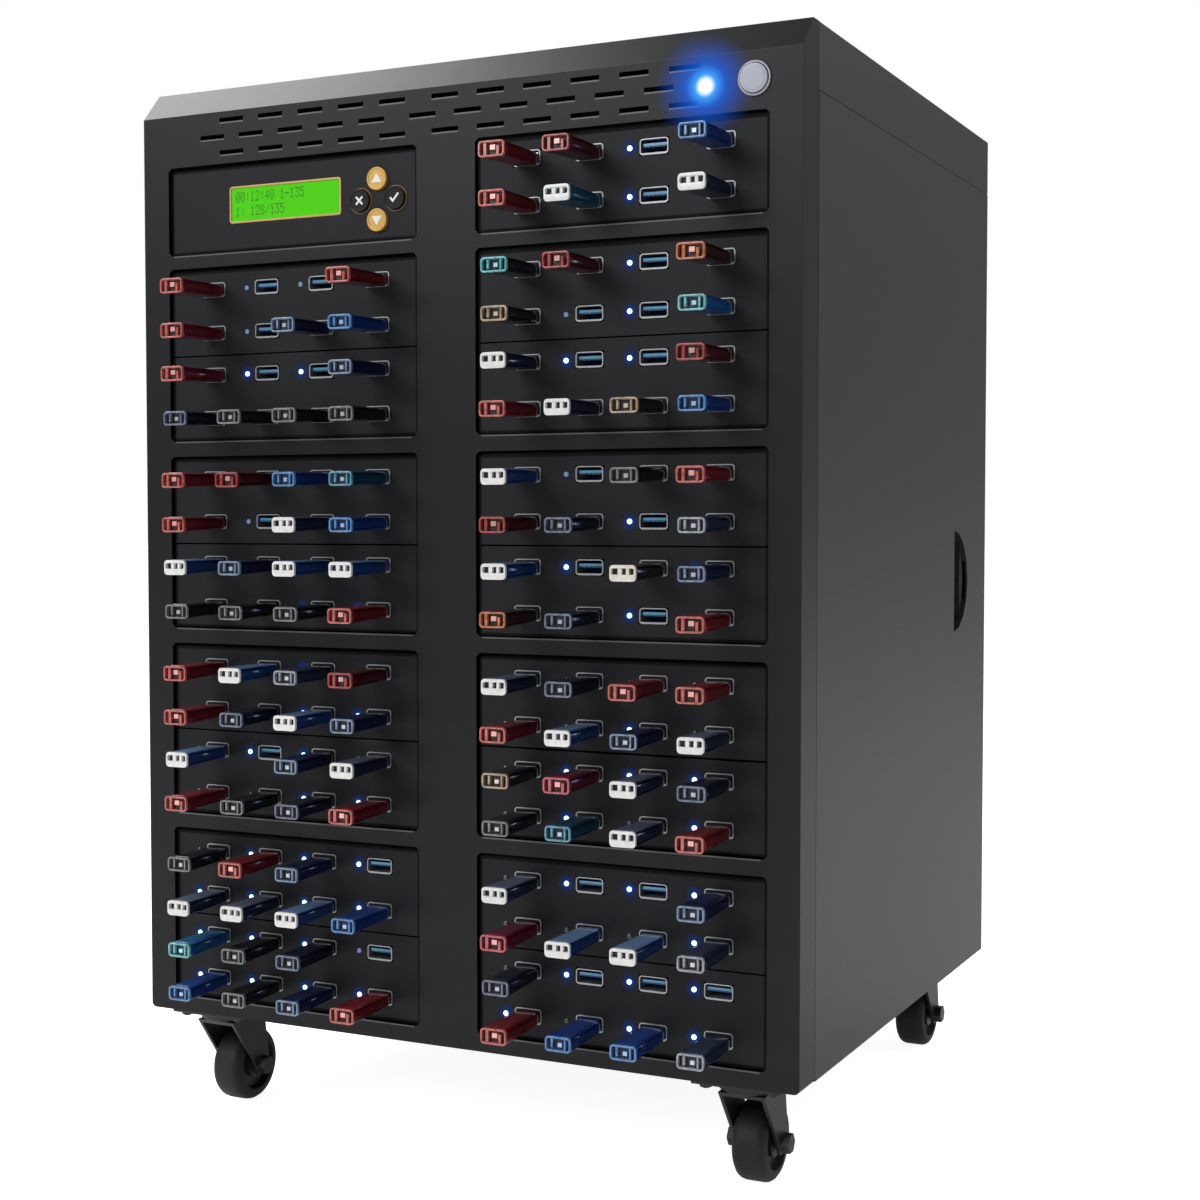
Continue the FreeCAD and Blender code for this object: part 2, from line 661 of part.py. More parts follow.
def usb_modules():
    """Faceplates, trays, boards, sockets, lights and sticks of all the modules."""
    plate, tray = module_faceplate(), module_tray()
    board_y = size("plate_setback - socket_proud + socket_depth")
    board = block("module_board", ("-tray_width / 2 + tray_sheet", f"{board_y}", "tray_sheet"),
                  ("tray_width - 2 * tray_sheet", "board_thick", "plate_height - 4"))
    socket, filled, cut_out = usb_socket(), filled_socket(), socket_cut_out()
    tongue, lens = socket_tongue(), status_lens()
    sticks = {letter: stick_shape(*row[1:]) for letter, row in STICKS.items()}
    sticks["S"] = plugged_stick(sticks["S"])
    doc.recompute()

    places = [(Vector(x, 0, z), letter) for x, z, letter in sockets()]
    free_places = [place for place, letter in places if letter in ".S"]
    cut_outs = Part.makeCompound([cut_out.Shape.translated(place) for place in free_places])
    plates, trays, boards = {}, [], []
    for side, opening, x, base, _rows in modules():
        place = Vector(x, 0, base)
        faceplate = plate.Shape.translated(place).cut(cut_outs)
        plates.setdefault(f"{side}_faceplates_{opening}", []).append(faceplate.Solids[0])
        trays.append(tray.Shape.translated(place))
        boards.append(board.Shape.translated(place))
    trays.append(tray.Shape.translated(Vector(-size("column_x"), 0, top_plate_base())))
    for label, shapes in sorted(plates.items()):
        group(label, shapes)
    group("module_trays", trays)
    group("module_boards", boards)

    group("usb_sockets", [(socket if letter in ".S" else filled).Shape.translated(place)
                          for place, letter in places])
    group("socket_tongues", [tongue.Shape.translated(place) for place in free_places])
    group("status_lights", [lens.Shape.translated(place) for place, _ in places])
    for letter, row in STICKS.items():
        shapes = [sticks[letter].Shape.translated(place)
                  for place, held in places if held == letter]
        group(row[0], shapes)


# ---------------------------------------------------------------- control panel and power button


def control_panel():
    """Plate with the display window and the four keys, in the top left opening."""
    body = new_body("control_panel_plate")
    face = new_sketch(body, "XZ_Plane", "-plate_setback")
    base = top_plate_base()
    rectangle(face, "-column_x - plate_width / 2", f"{base}",
              "-column_x + plate_width / 2", f"{base} + plate_height")
    pad_back(body, face, "plate_thick")
    window = new_sketch(body, "XZ_Plane", "-plate_setback")
    rectangle(window, "lcd_left", "lcd_bottom", "lcd_left + lcd_width", "lcd_bottom + lcd_height")
    cut_back(body, window, "plate_thick")
    holes = new_sketch(body, "XZ_Plane", "-plate_setback")
    for _label, x, z in KEYS:
        circle(holes, x, z, "key_radius + key_clearance")
    cut_back(body, holes, "plate_thick")
    keep(body, "control_panel_plate")
    keep(block("window_glass", ("lcd_left", "plate_setback + 0.3", "lcd_bottom"),
               ("lcd_width", "1.2", "lcd_height")),
         "lcd_window", y="plate_setback + 0.3", z="lcd_bottom")
    back = "(plate_setback + plate_thick)"
    frame = block("lcd_frame", ("lcd_left - 3", back, "lcd_bottom - 5"),
                  ("lcd_width + 6", "7", "lcd_height + 10"))
    board = block("lcd_board", ("lcd_left - 7", f"{back} + 7", "lcd_bottom - 9"),
                  ("lcd_width + 14", "board_thick", "lcd_height + 18"))
    display = doc.addObject("Part::Fuse", "lcd")
    display.Base = frame
    display.Tool = board
    keep(display, "lcd_module")
    board_low = f"{base} + tray_sheet"
    main_board = block("main_board", ("-column_x - tray_width / 2 + tray_sheet",
                                      f"{back} + 14", board_low),
                       ("tray_width - 2 * tray_sheet", "board_thick", "plate_height - 4"))
    chip = block("processor", ("-column_x - 12", f"{back} + 14 + board_thick", "lcd_bottom - 4"),
                 ("24", "3", "24"))
    controller = doc.addObject("Part::Fuse", "controller")
    controller.Base = main_board
    controller.Tool = chip
    keep(controller, "controller_board")


KEYS = (
    ("up_button", "key_x", "key_z + key_spread"),
    ("down_button", "key_x", "key_z - key_spread"),
    ("escape_button", "key_x - key_spread", "key_z"),
    ("enter_button", "key_x + key_spread", "key_z"),
)


def control_key(label, x, z):
    """A round keycap that slides in its hole."""
    body = new_body(label)
    cap = new_sketch(body, "XZ_Plane", "key_proud - plate_setback")
    circle(cap, x, z, "key_radius")
    pad_back(body, cap, "key_proud + plate_thick + 1")
    keep(body, label)


def power_button():
    """The power button, the ring it works in, and the light beside it."""
    ring = new_body("power_button_ring")
    bore = "(button_radius + button_clearance)"
    tube = new_sketch(ring, "XY_Plane")
    rectangle(tube, bore, "-0.8", "ring_radius", "14")
    turned(ring, "Revolution", tube, "Y_Axis")
    ring_place(ring, "power_button_ring")
    button = new_body("power_button")
    cap = new_sketch(button, "XY_Plane")
    rectangle(cap, "0", "-1.8", "button_radius", "11")
    turned(button, "Revolution", cap, "Y_Axis")
    ring_place(button, "power_button")
    light = block("power_lens", ("0", "0", "0"), ("light_size", "8", "light_size"))
    light.setExpression(".Placement.Base.x", expand("light_x - light_size / 2"))
    keep(light, "power_light", y="-0.8", z="button_z - 1.2 - light_size / 2")


def ring_place(body, label):
    """Seat a body that is turned about the power button's own axis."""
    body.setExpression(".Placement.Base.x", expand("button_x"))
    keep(body, label, z="button_z")


# ---------------------------------------------------------------- casters


def caster_axes():
    """Name and swivel axis of each caster, in the cabinet frame."""
    for name in CASTERS:
        x = size("caster_x") * (-1 if name.endswith("left") else 1)
        y = size("caster_front_y" if name.startswith("front") else "caster_rear_y")
        yield name, x, y


def place_caster_part(body, label, x, y, z):
    """Seat a caster's part on its own axis."""
    body.Placement = Placement(Vector(x, size("front_y") + y, z), Rotation())
    body.Label = label
    nodes.append(body)


def caster_plate():
    """Mounting plate with its round raceway, the swivel axis being Z."""
    body = new_body("caster_plate")
    plate = new_sketch(body, "XY_Plane")
    rectangle(plate, "-22", "-20", "22", "20")
    extrude(body, "Pad", plate, "2.5", reversed_way=True)
    raceway = new_sketch(body, "XY_Plane", "-2.5")
    circle(raceway, "0", "0", "15")
    extrude(body, "Pad", raceway, "4", reversed_way=True)
    return body


def caster_fork(name, x, y):
    """Crown and two raked legs bent from one sheet, with the axle riveted between them."""
    body = new_body("caster_fork_" + name)
    half = "(wheel_width / 2 + 3)"
    axle_z = "(wheel_radius - ground_clearance)"
    legs = new_sketch(body, "YZ_Plane")
    outline(legs, (
        ("-13", "-6.8"), ("15", "-6.8"), ("caster_trail + 6.5", axle_z),
        ("caster_trail + 4", f"{axle_z} - 5"), ("caster_trail - 4", f"{axle_z} - 5"),
        ("caster_trail - 7", f"{axle_z} + 2"),
    ))
    extrude(body, "Pad", legs, f"2 * {half}", symmetric=True)
    gap = new_sketch(body, "YZ_Plane")
    rectangle(gap, "-30", "-70", "50", "-9")
    cut(body, gap, "wheel_width + 2", symmetric=True)
    axle = new_sketch(body, "YZ_Plane")
    circle(axle, "caster_trail", axle_z, "axle_radius")
    extrude(body, "Pad", axle, f"2 * {half}", symmetric=True)
    for side in (-1, 1):
        nut = new_sketch(body, "YZ_Plane", f"{side} * {half}")
        outline(nut, [(f"caster_trail + {y}", f"{axle_z} + {z}") for y, z in polygon(5, 6)])
        extrude(body, "Pad", nut, "4", reversed_way=side < 0)
    place_caster_part(body, f"caster_fork_{name}", x, y, size("ground_clearance"))


def caster_wheel(name, x, y):
    """Hard wheel, turned about its axle."""
    body = new_body("caster_wheel_" + name)
    section = new_sketch(body, "XY_Plane")
    half = "wheel_width / 2"
    rectangle(section, f"-{half}", "axle_radius + running_fit", half, "wheel_radius")
    turned(body, "Revolution", section, "X_Axis")
    place_caster_part(body, f"caster_wheel_{name}", x, y + size("caster_trail"),
                      size("wheel_radius"))


def casters():
    """Four swivel casters: the plates share a node, all that turns has its own."""
    plate = caster_plate()
    doc.recompute()
    group("caster_plates", [plate.Shape.translated(Vector(x, y, 0)) for _, x, y in caster_axes()])
    for name, x, y in caster_axes():
        caster_fork(name, x, y)
        caster_wheel(name, x, y)


# ---------------------------------------------------------------- power supply and fans


def power_supply():
    """Closed power supply with vent slots, and recesses for the mains inlet and the switch."""
    body = new_body("power_supply")
    inner_face = "(rear_face - sheet)"
    face = new_sketch(body, "XZ_Plane", f"-({inner_face} - psu_depth)")
    rectangle(face, "psu_left", "psu_bottom", "psu_left + psu_width", "psu_bottom + psu_height")
    pad_back(body, face, "psu_depth")
    slots = new_sketch(body, "XZ_Plane", f"-({inner_face} - 2)")
    rectangle(slots, "psu_left + 56", "psu_bottom + 12", "psu_left + 60", "psu_bottom + 74")
    first = cut_back(body, slots, "2")
    repeat_in_line(body, first, "X_Axis", "8", 11)
    recesses = new_sketch(body, "XZ_Plane", f"-({inner_face} - 16)")
    rectangle(recesses, "psu_left + 14", "psu_bottom + 14", "psu_left + 42", "psu_bottom + 34")
    rectangle(recesses, "psu_left + 14", "psu_bottom + 50", "psu_left + 33", "psu_bottom + 64")
    cut_back(body, recesses, "16")
    keep(body, "power_supply")


def mains_inlet():
    """Three-pin inlet: a moulded shell in the power supply's recess."""
    body = new_body("mains_inlet")
    inner_face = "(rear_face - sheet)"
    shell = new_sketch(body, "XZ_Plane", f"-({inner_face} - 16)")
    rectangle(shell, "psu_left + 14", "psu_bottom + 14", "psu_left + 42", "psu_bottom + 34")
    pad_back(body, shell, "16")
    mouth = new_sketch(body, "XZ_Plane", f"-({inner_face} - 13)")
    rectangle(mouth, "psu_left + 16", "psu_bottom + 16", "psu_left + 40", "psu_bottom + 32")
    cut_back(body, mouth, "13")
    pins = new_sketch(body, "XZ_Plane", f"-({inner_face} - 13)")
    for x in ("21", "27", "33"):
        rectangle(pins, f"psu_left + {x}", "psu_bottom + 21",
                  f"psu_left + {x} + 2", "psu_bottom + 25")
    pad_back(body, pins, "10")
    keep(body, "mains_inlet")


def mains_switch():
    """Rocker that pivots in the power supply's upper recess, its upper end pressed in."""
    body = new_body("mains_switch")
    section = new_sketch(body, "YZ_Plane", "psu_left + 14.5")
    pivot, level = "(rear_face - sheet - 4)", "(psu_bottom + 57)"
    corners = ((-3.24, -4.63), (5.0, -5.4), (2.95, 0.52), (2.85, 6.79), (-4.63, 3.24))
    outline(section, [(f"{pivot} + {y}", f"{level} + {z}") for y, z in corners])
    extrude(body, "Pad", section, "18")
    keep(body, "mains_switch")


def exhaust_fan():
    """Square fan frame behind the rear grille, with the motor's seat on three struts."""
    body = new_body("exhaust_fan_frame")
    inner_face = "(rear_face - sheet)"
    half = "fan_size / 2"
    frame = new_sketch(body, "XZ_Plane", f"-({inner_face} - fan_depth)")
    rectangle(frame, f"fan_x - {half}", f"fan_z - {half}", f"fan_x + {half}", f"fan_z + {half}")
    pad_back(body, frame, "fan_depth")
    duct = new_sketch(body, "XZ_Plane", f"-({inner_face} - fan_depth)")
    outline(duct, [(f"fan_x + {x}", f"fan_z + {z}") for x, z in polygon(58, DUCT_FLATS)])
    cut_back(body, duct, "fan_depth")
    struts = new_sketch(body, "XZ_Plane", f"-({inner_face} - fan_depth)")
    rectangle(struts, "fan_x - 58.5", "fan_z - 2.5", "fan_x + 58.5", "fan_z + 2.5")
    pad_back(body, struts, "3")
    seat = new_sketch(body, "XZ_Plane", f"-({inner_face} - fan_depth)")
    outline(seat, [(f"fan_x + {x}", f"fan_z + {z}") for x, z in polygon(20, 12)])
    pad_back(body, seat, "3")
    keep(body, "exhaust_fan_frame")


def exhaust_fan_rotor():
    """Hub cup with seven slanted blades, turned about its own Y axis."""
    body = new_body("exhaust_fan_rotor")
    hub = new_sketch(body, "XZ_Plane")
    outline(hub, polygon(19, DUCT_FLATS))
    pad_back(body, hub, "18")
    blade = new_sketch(body, "YZ_Plane", "17")
    outline(blade, (("1", "-9"), ("2.5", "-9"), ("17", "9"), ("15.5", "9")))
    vane = extrude(body, "Pad", blade, "38")
    repeat_round(body, vane, "Y_Axis", 7)
    body.setExpression(".Placement.Base.x", expand("fan_x"))
    keep(body, "exhaust_fan_rotor", y="rear_face - sheet - 20", z="fan_z")


def panel_thumbscrews(label, sign):
    """Captive thumbscrews on the rear fold of a side panel."""
    screws = []
    for z in (60, 400):
        corners = [Vector(sign * 172 + x, size("case_depth"), z + y) for x, y in polygon(5, 8)]
        face = Part.Face(Part.makePolygon(corners + corners[:1]))
        screws.append(face.extrude(Vector(0, size("screw_head"), 0)))
    group(label, screws)


# ---------------------------------------------------------------- build and export


def check():
    """Stop on any failed object or empty or invalid sub-part."""
    for item in doc.Objects:
        if "Invalid" in item.State or "Error" in item.State:
            raise RuntimeError(f"{item.Name} failed: {item.State}")
    for item in nodes:
        if item.Shape.isNull() or not item.Shape.isValid():
            raise RuntimeError(f"{item.Label} has no valid shape")


def export():
    """Write each sub-part to its own STEP file, named after its label."""
    os.makedirs("parts", exist_ok=True)
    for item in nodes:
        item.Shape.exportStep(os.path.join("parts", item.Label + ".step"))


fill_sheet()
front_bezel()
base_pan()
top_cover()
rear_panel()
side_panel("left_side_panel", -1)
side_panel("right_side_panel", 1)
drive_cage()
usb_modules()
control_panel()
for key in KEYS:
    control_key(*key)
power_button()
casters()
power_supply()
mains_inlet()
mains_switch()
exhaust_fan()
exhaust_fan_rotor()
panel_thumbscrews("left_panel_thumbscrews", -1)
panel_thumbscrews("right_panel_thumbscrews", 1)
doc.recompute()
check()
export()
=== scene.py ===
import math

import bmesh
import bpy
from bpy.props import FloatProperty, FloatVectorProperty, PointerProperty
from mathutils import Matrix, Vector


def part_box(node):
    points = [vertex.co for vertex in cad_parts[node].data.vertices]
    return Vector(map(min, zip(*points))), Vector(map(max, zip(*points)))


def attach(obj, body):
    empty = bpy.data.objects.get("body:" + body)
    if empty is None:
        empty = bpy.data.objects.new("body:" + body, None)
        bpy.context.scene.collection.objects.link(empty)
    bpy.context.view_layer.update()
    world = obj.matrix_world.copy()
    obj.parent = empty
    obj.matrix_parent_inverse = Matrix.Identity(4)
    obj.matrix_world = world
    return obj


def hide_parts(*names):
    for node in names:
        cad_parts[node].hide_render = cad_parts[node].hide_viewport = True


bl_info = {
    "name": "USB drive duplicator",
    "version": (1, 0, 0),
    "blender": (4, 5, 0),
    "location": "View3D > Sidebar > Duplicator",
    "description": "Builds the visible pieces of a wheeled USB duplicator round its CAD frame",
    "category": "Object",
}

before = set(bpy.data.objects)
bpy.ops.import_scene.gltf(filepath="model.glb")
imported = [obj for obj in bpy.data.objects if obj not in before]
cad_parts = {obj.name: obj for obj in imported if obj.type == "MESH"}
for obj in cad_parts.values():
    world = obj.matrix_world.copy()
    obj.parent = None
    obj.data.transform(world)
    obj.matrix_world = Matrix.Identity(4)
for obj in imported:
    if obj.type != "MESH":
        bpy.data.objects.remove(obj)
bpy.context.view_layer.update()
MM = 0.001
BEZEL_LOW, BEZEL_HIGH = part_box("front_bezel")
FRONT_Y, UNDER_Z = BEZEL_LOW[1], BEZEL_LOW[2]

# What stands in each socket, one letter a socket and one string a row, from the top down.
# Red sticks are r d m o, blue b n t c g, smoked black k l a s, white-ended w v u y, the source
# stick is S, and a free socket is a full stop.
STICK_ROWS = {
    "left": ("r..r", "r.nb", "r..n", "lkkk", "rdbt", "r.vb", "wnww", "kkkr",
             "rwgd", "rlwn", "w.nv", "rklr", "krn.", "vvwb", "ckl.", "bknr"),
    "right": ("Sd.b", "ru.v", "sd.o", "a..c", "v..d", "rvab", "w.kr", "dl.g", "w.yn", "ol.r",
              "vlrr", "rwnv", "amvl", "ktvr", "v..n", "mwwg", "l...", "rbbg"),
}
# The status light left of each socket: * lit, o faint, - out.
LIGHT_ROWS = {
    "left": ("-oo-", "-o--", "-**-", "----", "----", "-o--", "----", "--**",
             "--*-", "--**", "-**-", "--**", "-***", "****", "***o", "****"),
    "right": ("--*-", "--*-", "--*-", "-o*-", "-**-", "----", "-o--", "--*-", "-*-*", "--*-",
              "----", "--*-", "-***", "-*-*", "-***", "---*", "-***", "*-**"),
}
# letter: (body colour, end colour, panel colour: the top in a lighter tone of the body, a painted
# highlight)
STICK_TONES = {
    "r": ((0.090, 0.004, 0.008), (0.56, 0.100, 0.085), (0.17, 0.008, 0.014)),
    "d": ((0.040, 0.003, 0.004), (0.28, 0.045, 0.040), (0.070, 0.006, 0.008)),
    "m": ((0.075, 0.002, 0.018), (0.52, 0.080, 0.100), (0.14, 0.006, 0.034)),
    "o": ((0.022, 0.005, 0.005), (0.60, 0.130, 0.060), (0.050, 0.010, 0.010)),
    "b": ((0.003, 0.022, 0.13), (0.07, 0.20, 0.46), (0.006, 0.040, 0.20)),
    "n": ((0.003, 0.006, 0.035), (0.15, 0.20, 0.30), (0.006, 0.012, 0.060)),
    "t": ((0.002, 0.028, 0.060), (0.09, 0.26, 0.36), (0.005, 0.050, 0.095)),
    "c": ((0.004, 0.060, 0.19), (0.16, 0.42, 0.66), (0.012, 0.11, 0.27)),
    "g": ((0.008, 0.016, 0.040), (0.26, 0.28, 0.32), (0.018, 0.030, 0.065)),
    "k": ((0.004, 0.004, 0.005), (0.15, 0.15, 0.16), (0.008, 0.008, 0.010)),
    "l": ((0.003, 0.005, 0.015), (0.12, 0.14, 0.20), (0.006, 0.009, 0.024)),
    "a": ((0.009, 0.007, 0.005), (0.34, 0.25, 0.17), (0.017, 0.014, 0.011)),
    "s": ((0.005, 0.008, 0.013), (0.10, 0.38, 0.52), (0.009, 0.014, 0.022)),
    "w": ((0.006, 0.028, 0.12), (0.72, 0.69, 0.65), (0.14, 0.24, 0.44)),
    "v": ((0.006, 0.011, 0.030), (0.66, 0.64, 0.60), (0.10, 0.13, 0.19)),
    "u": ((0.005, 0.050, 0.085), (0.60, 0.64, 0.64), (0.08, 0.24, 0.30)),
    "y": ((0.011, 0.010, 0.011), (0.62, 0.52, 0.40), (0.055, 0.052, 0.056)),
}
STICK_NODES = {
    # node: (its letters, material slot, reach, width and height at the tip)
    "red_sticks": ("rdmo", "stick_red", 33.0, 13.4, 7.4),
    "blue_sticks": ("bntcg", "stick_blue", 31.5, 13.0, 7.0),
    "black_sticks": ("klas", "stick_black", 31.0, 13.6, 7.0),
    "white_ended_sticks": ("wvuy", "stick_white", 32.0, 12.8, 7.4),
}
# Width, height and drop of a stick at its socket, and how far its tip hangs.
STICK_ROOT = (12.2, 5.9, 0.7)
STICK_DROOP = 1.6
# How far behind the bezel's face the plates stand, and with them the sockets' mouths.
MOUTH = 1.6
# Half size and back end of a socket's shell, and how far behind the face a tongue starts.
SOCKET_HALF, SOCKET_BACK, TONGUE_FRONT = (7.1, 3.7), 15.6, 3.0
# Middles of the four contacts on a tongue.
CONTACTS = (-3.6, -1.2, 1.2, 3.6)
# A status light stands this far left of its socket.
LIGHT_OFFSET = 12.1
# The vent slots: first middle, pitch and count of each group, half a slot's length, the lower
# edge of the top row above the underside of the case, and the rows' pitch and shifts.
SLOT_GROUPS = ((-124.9, 23.8, 5), (-0.3, 24.8, 6))
SLOT_HALF, SLOT_EDGE, SLOT_PITCH, SLOT_SHIFTS = 7.3, 457.4, 8.15, (0.0, -0.5, 0.0)
# Height of the strip of painted highlight along the lip under a vent slot or a bay opening.
LIP_HIGHLIGHT = 0.7
# Heights on the bezel above the underside: where the bays end, the crease below the fold
# starts, the vent slots end and the face folds back; and the angle it folds by.
BAYS_TOP, CREASE, SLOTS_TOP, FOLD, FOLD_ANGLE = 440, 460, 461, 462.8, math.atan2(12.8, 14.7)
# Width of the painted shade along a faceplate's edges, and the flanges, also in painted shade,
# that close the seams beside it.
SHADE_BORDER = 1.3
FLANGES = (((-1, 0, 0), 0.65), ((1, 0, 0), 0.65), ((0, 0, -1), 0.65), ((0, 0, 1), 1.7))
FACING = (math.pi / 2, 0, 0)
# Places of a caster plate's bolts from its middle.
BOLT_SPOTS = ((-16.5, -14.5), (-16.5, 14.5), (16.5, -14.5), (16.5, 14.5))
# What the display shows, the pitch of its numerals and lines, and a dot's width and height.
DISPLAY_LINES = ("00:12:48 1-135", "1: 128/135")
NUMERAL_PITCH, LINE_PITCH, DOT_WIDE, DOT_TALL = 3.0, 7.2, 0.5, 0.74
# Outlines of the marks on the keys.
ARROW = ((-2.9, -1.9), (2.9, -1.9), (0, 2.7))
TICK = ((-2.6, -0.1), (-0.8, -2.2), (2.7, 1.9), (1.9, 2.5), (-0.8, -0.7), (-1.9, 0.6))
CROSS = ((-2.2, -1.5), (-1.5, -2.2), (0, -0.7), (1.5, -2.2), (2.2, -1.5), (0.7, 0),
         (2.2, 1.5), (1.5, 2.2), (0, 0.7), (-1.5, 2.2), (-2.2, 1.5), (-0.7, 0))
# The camera's place in the cabinet's millimetres, and its tilt and turn in degrees.
CAMERA_PLACE, CAMERA_TILT, CAMERA_TURN = (461.9, -787.9, 255.0), 87.65, 25.75
# lamp: (place, aim, size), in metres
LAMPS = {
    "key": ((-0.9, -2.0, 1.7), (0, 0, 0.3), 1.8),
    "top": ((-1.35, 0.2, 1.9), (0, 0, 0.4), 1.0),
    "side": ((2.0, 1.6, 2.0), (0.1, 0.1, 0.3), 1.6),
}
# Dot rows of the display's numerals, five dots wide, read as binary from the top.
NUMERALS = {
    "0": (14, 17, 19, 21, 25, 17, 14), "1": (4, 12, 4, 4, 4, 4, 14),
    "2": (14, 17, 1, 2, 4, 8, 31), "3": (31, 2, 4, 2, 1, 17, 14),
    "4": (2, 6, 10, 18, 31, 2, 2), "5": (31, 16, 30, 1, 1, 17, 14),
    "6": (6, 8, 16, 30, 17, 17, 14), "7": (31, 1, 2, 4, 8, 8, 8),
    "8": (14, 17, 17, 14, 17, 17, 14), ":": (0, 4, 4, 0, 4, 4, 0),
    "-": (0, 0, 0, 31, 0, 0, 0), "/": (0, 1, 2, 4, 8, 16, 0),
}


# ------------------------------------------------------------------ settings


def tint(name, description, default):
    """A colour setting."""
    return FloatVectorProperty(name=name, description=description, subtype="COLOR", size=3,
                               min=0, max=1, default=default)


def length(name, description, default, least, most):
    """A setting in metres."""
    return FloatProperty(name=name, description=description, subtype="DISTANCE",
                         unit="LENGTH", default=default, min=least, max=most)


def watts(name, description, default):
    """The power of a lamp."""
    return FloatProperty(name=name, description=description, unit="POWER", default=default,
                         min=0.0)


class CaseSettings(bpy.types.PropertyGroup):
    """Finish of the case, its moulded front and the module plates."""

    bezel_colour: tint("Bezel", "Moulded front", (0.0060, 0.0062, 0.0074))
    paint_colour: tint("Paint", "Powder coat of the sheet metal", (0.0165, 0.0168, 0.0170))
    plate_colour: tint("Plates", "Module faceplates", (0.0080, 0.0086, 0.0108))
    bezel_round: length("Bezel edges", "Rounding of the moulded front's edges",
                        0.0010, 0.0001, 0.0012)
    sheet_round: length("Sheet edges", "Rounding of folded and cut sheet",
                        0.0003, 0.0001, 0.0005)


class StickSettings(bpy.types.PropertyGroup):
    """Shape of the sticks' housings."""

    end_length: length("End cap", "Length of the end cap in front of its seam",
                       0.0014, 0.0008, 0.006)
    frame_wall: length("End frame", "Wall round the recess in the end",
                       0.0009, 0.0005, 0.002)
    edge_round: length("Edges", "Rounding along the housing", 0.0017, 0.0002, 0.0024)


class LightSettings(bpy.types.PropertyGroup):
    """Status lights, power light and display."""

    glow_colour: tint("Glow", "Colour of the lit lights", (0.010, 0.14, 0.85))
    glow_radius: length("Status glow", "Radius of the glow round a lit status light",
                        0.0050, 0.002, 0.008)
    power_glow: length("Power glow", "Radius of the glow round the power light",
                       0.0260, 0.005, 0.040)
    display_colour: tint("Display", "Lit ground of the display", (0.050, 0.40, 0.003))


class StageSettings(bpy.types.PropertyGroup):
    """Floor, lamps and camera."""

    floor_colour: tint("Floor", "Pale floor", (0.86, 0.86, 0.86))
    key_power: watts("Key lamp", "Large soft lamp high in front", 36.0)
    top_power: watts("Top lamp", "Soft lamp above, to the left", 24.0)
    side_power: watts("Side lamp", "Soft lamp beside the right panel", 16.0)
    world_level: FloatProperty(
        name="Surroundings", description="Light from all round", default=0.27, min=0.0, max=2.0)
    focal_length: FloatProperty(
        name="Focal length", description="Camera lens", unit="CAMERA", default=56.77, min=20.0)


# ------------------------------------------------------------------ modelling helpers


def at(x, y, z):
    """A place in the cabinet's millimetres: X from the middle, Y from the bezel's face,
    Z from the underside of the case."""
    return Vector((x * MM, FRONT_Y + y * MM, UNDER_Z + z * MM))


def mm(x, y, z):
    """A step or a place of its own in millimetres."""
    return Vector((x * MM, y * MM, z * MM))


def on_face(place, depth=0.0):
    """The place on the bezel's face in front of another, or a depth behind it."""
    return Vector((place.x, FRONT_Y + depth, place.z))


def corners(box):
    return [Vector(corner) for corner in box]


def front_of(box):
    """Middle of a box's front face, half its width and its depth."""
    low, high = corners(box)
    return (Vector(((low.x + high.x) / 2, low.y, (low.z + high.z) / 2)),
            (high.x - low.x) / 2, high.y - low.y)


def start():
    """Leaves edit mode and deselects everything."""
    if bpy.context.mode != "OBJECT":
        bpy.ops.object.mode_set(mode="OBJECT")
    bpy.ops.object.select_all(action="DESELECT")


def use(*pieces):
    """Selects these pieces, the first being active."""
    start()
    for piece in pieces:
        piece.select_set(True)
    bpy.context.view_layer.objects.active = pieces[0]
    return pieces[0]


def applied():
    """Applies the active piece's own place, scale and turn to its mesh."""
    bpy.ops.object.transform_apply(location=True, rotation=True, scale=True)
    return bpy.context.object


def add_block(low, high):
    """A block between two corners, in metres."""
    start()
    low, high = Vector(low), Vector(high)
    bpy.ops.mesh.primitive_cube_add(size=1, location=(low + high) / 2, scale=high - low)
    return applied()


def add_cylinder(middle, radius, depth, sides, turn=FACING):
    """A cylinder round a middle, its axis along Y unless it is turned otherwise."""
    start()
    bpy.ops.mesh.primitive_cylinder_add(vertices=sides, radius=radius, depth=depth,
                                        location=middle, rotation=turn)
    return applied()


def add_disc(centre, radius, depth, sides):
    """A cylinder whose axis is along Y, its front face at the centre given."""
    return add_cylinder(centre + Vector((0, depth / 2, 0)), radius, depth, sides)


def add_face(middle, radius, sides):
    """A flat round face towards the front."""
    start()
    bpy.ops.mesh.primitive_circle_add(vertices=sides, radius=radius, fill_type="NGON",
                                      rotation=FACING, location=middle)
    return applied()


def add_ring(middle, radius, thickness, sides, turn=FACING):
    """A thin ring round a middle."""
    start()
    bpy.ops.mesh.primitive_torus_add(major_radius=radius, minor_radius=thickness,
                                     major_segments=sides, minor_segments=6, rotation=turn,
                                     location=middle)
    return applied()


def everything(spot, way):
    return True


def frontwards(spot, way):
    return way.y < -0.9


def pick(piece, test, kind="FACE"):
    """Selects in edit mode the faces, edges or corners whose middle and direction pass."""
    use(piece)
    bpy.ops.object.mode_set(mode="EDIT")
    bpy.ops.mesh.select_mode(type=kind)
    bpy.ops.mesh.select_all(action="DESELECT")
    shape = bmesh.from_edit_mesh(piece.data)
    if kind == "FACE":
        items = [(face, face.calc_center_median(), face.normal) for face in shape.faces]
    elif kind == "EDGE":
        items = [(edge, (edge.verts[0].co + edge.verts[1].co) / 2,
                  (edge.verts[1].co - edge.verts[0].co).normalized()) for edge in shape.edges]
    else:
        items = [(corner, corner.co, corner.normal) for corner in shape.verts]
    for item, middle, way in items:
        if test(middle, way):
            item.select_set(True)
    shape.select_flush_mode()
    bmesh.update_edit_mesh(piece.data)


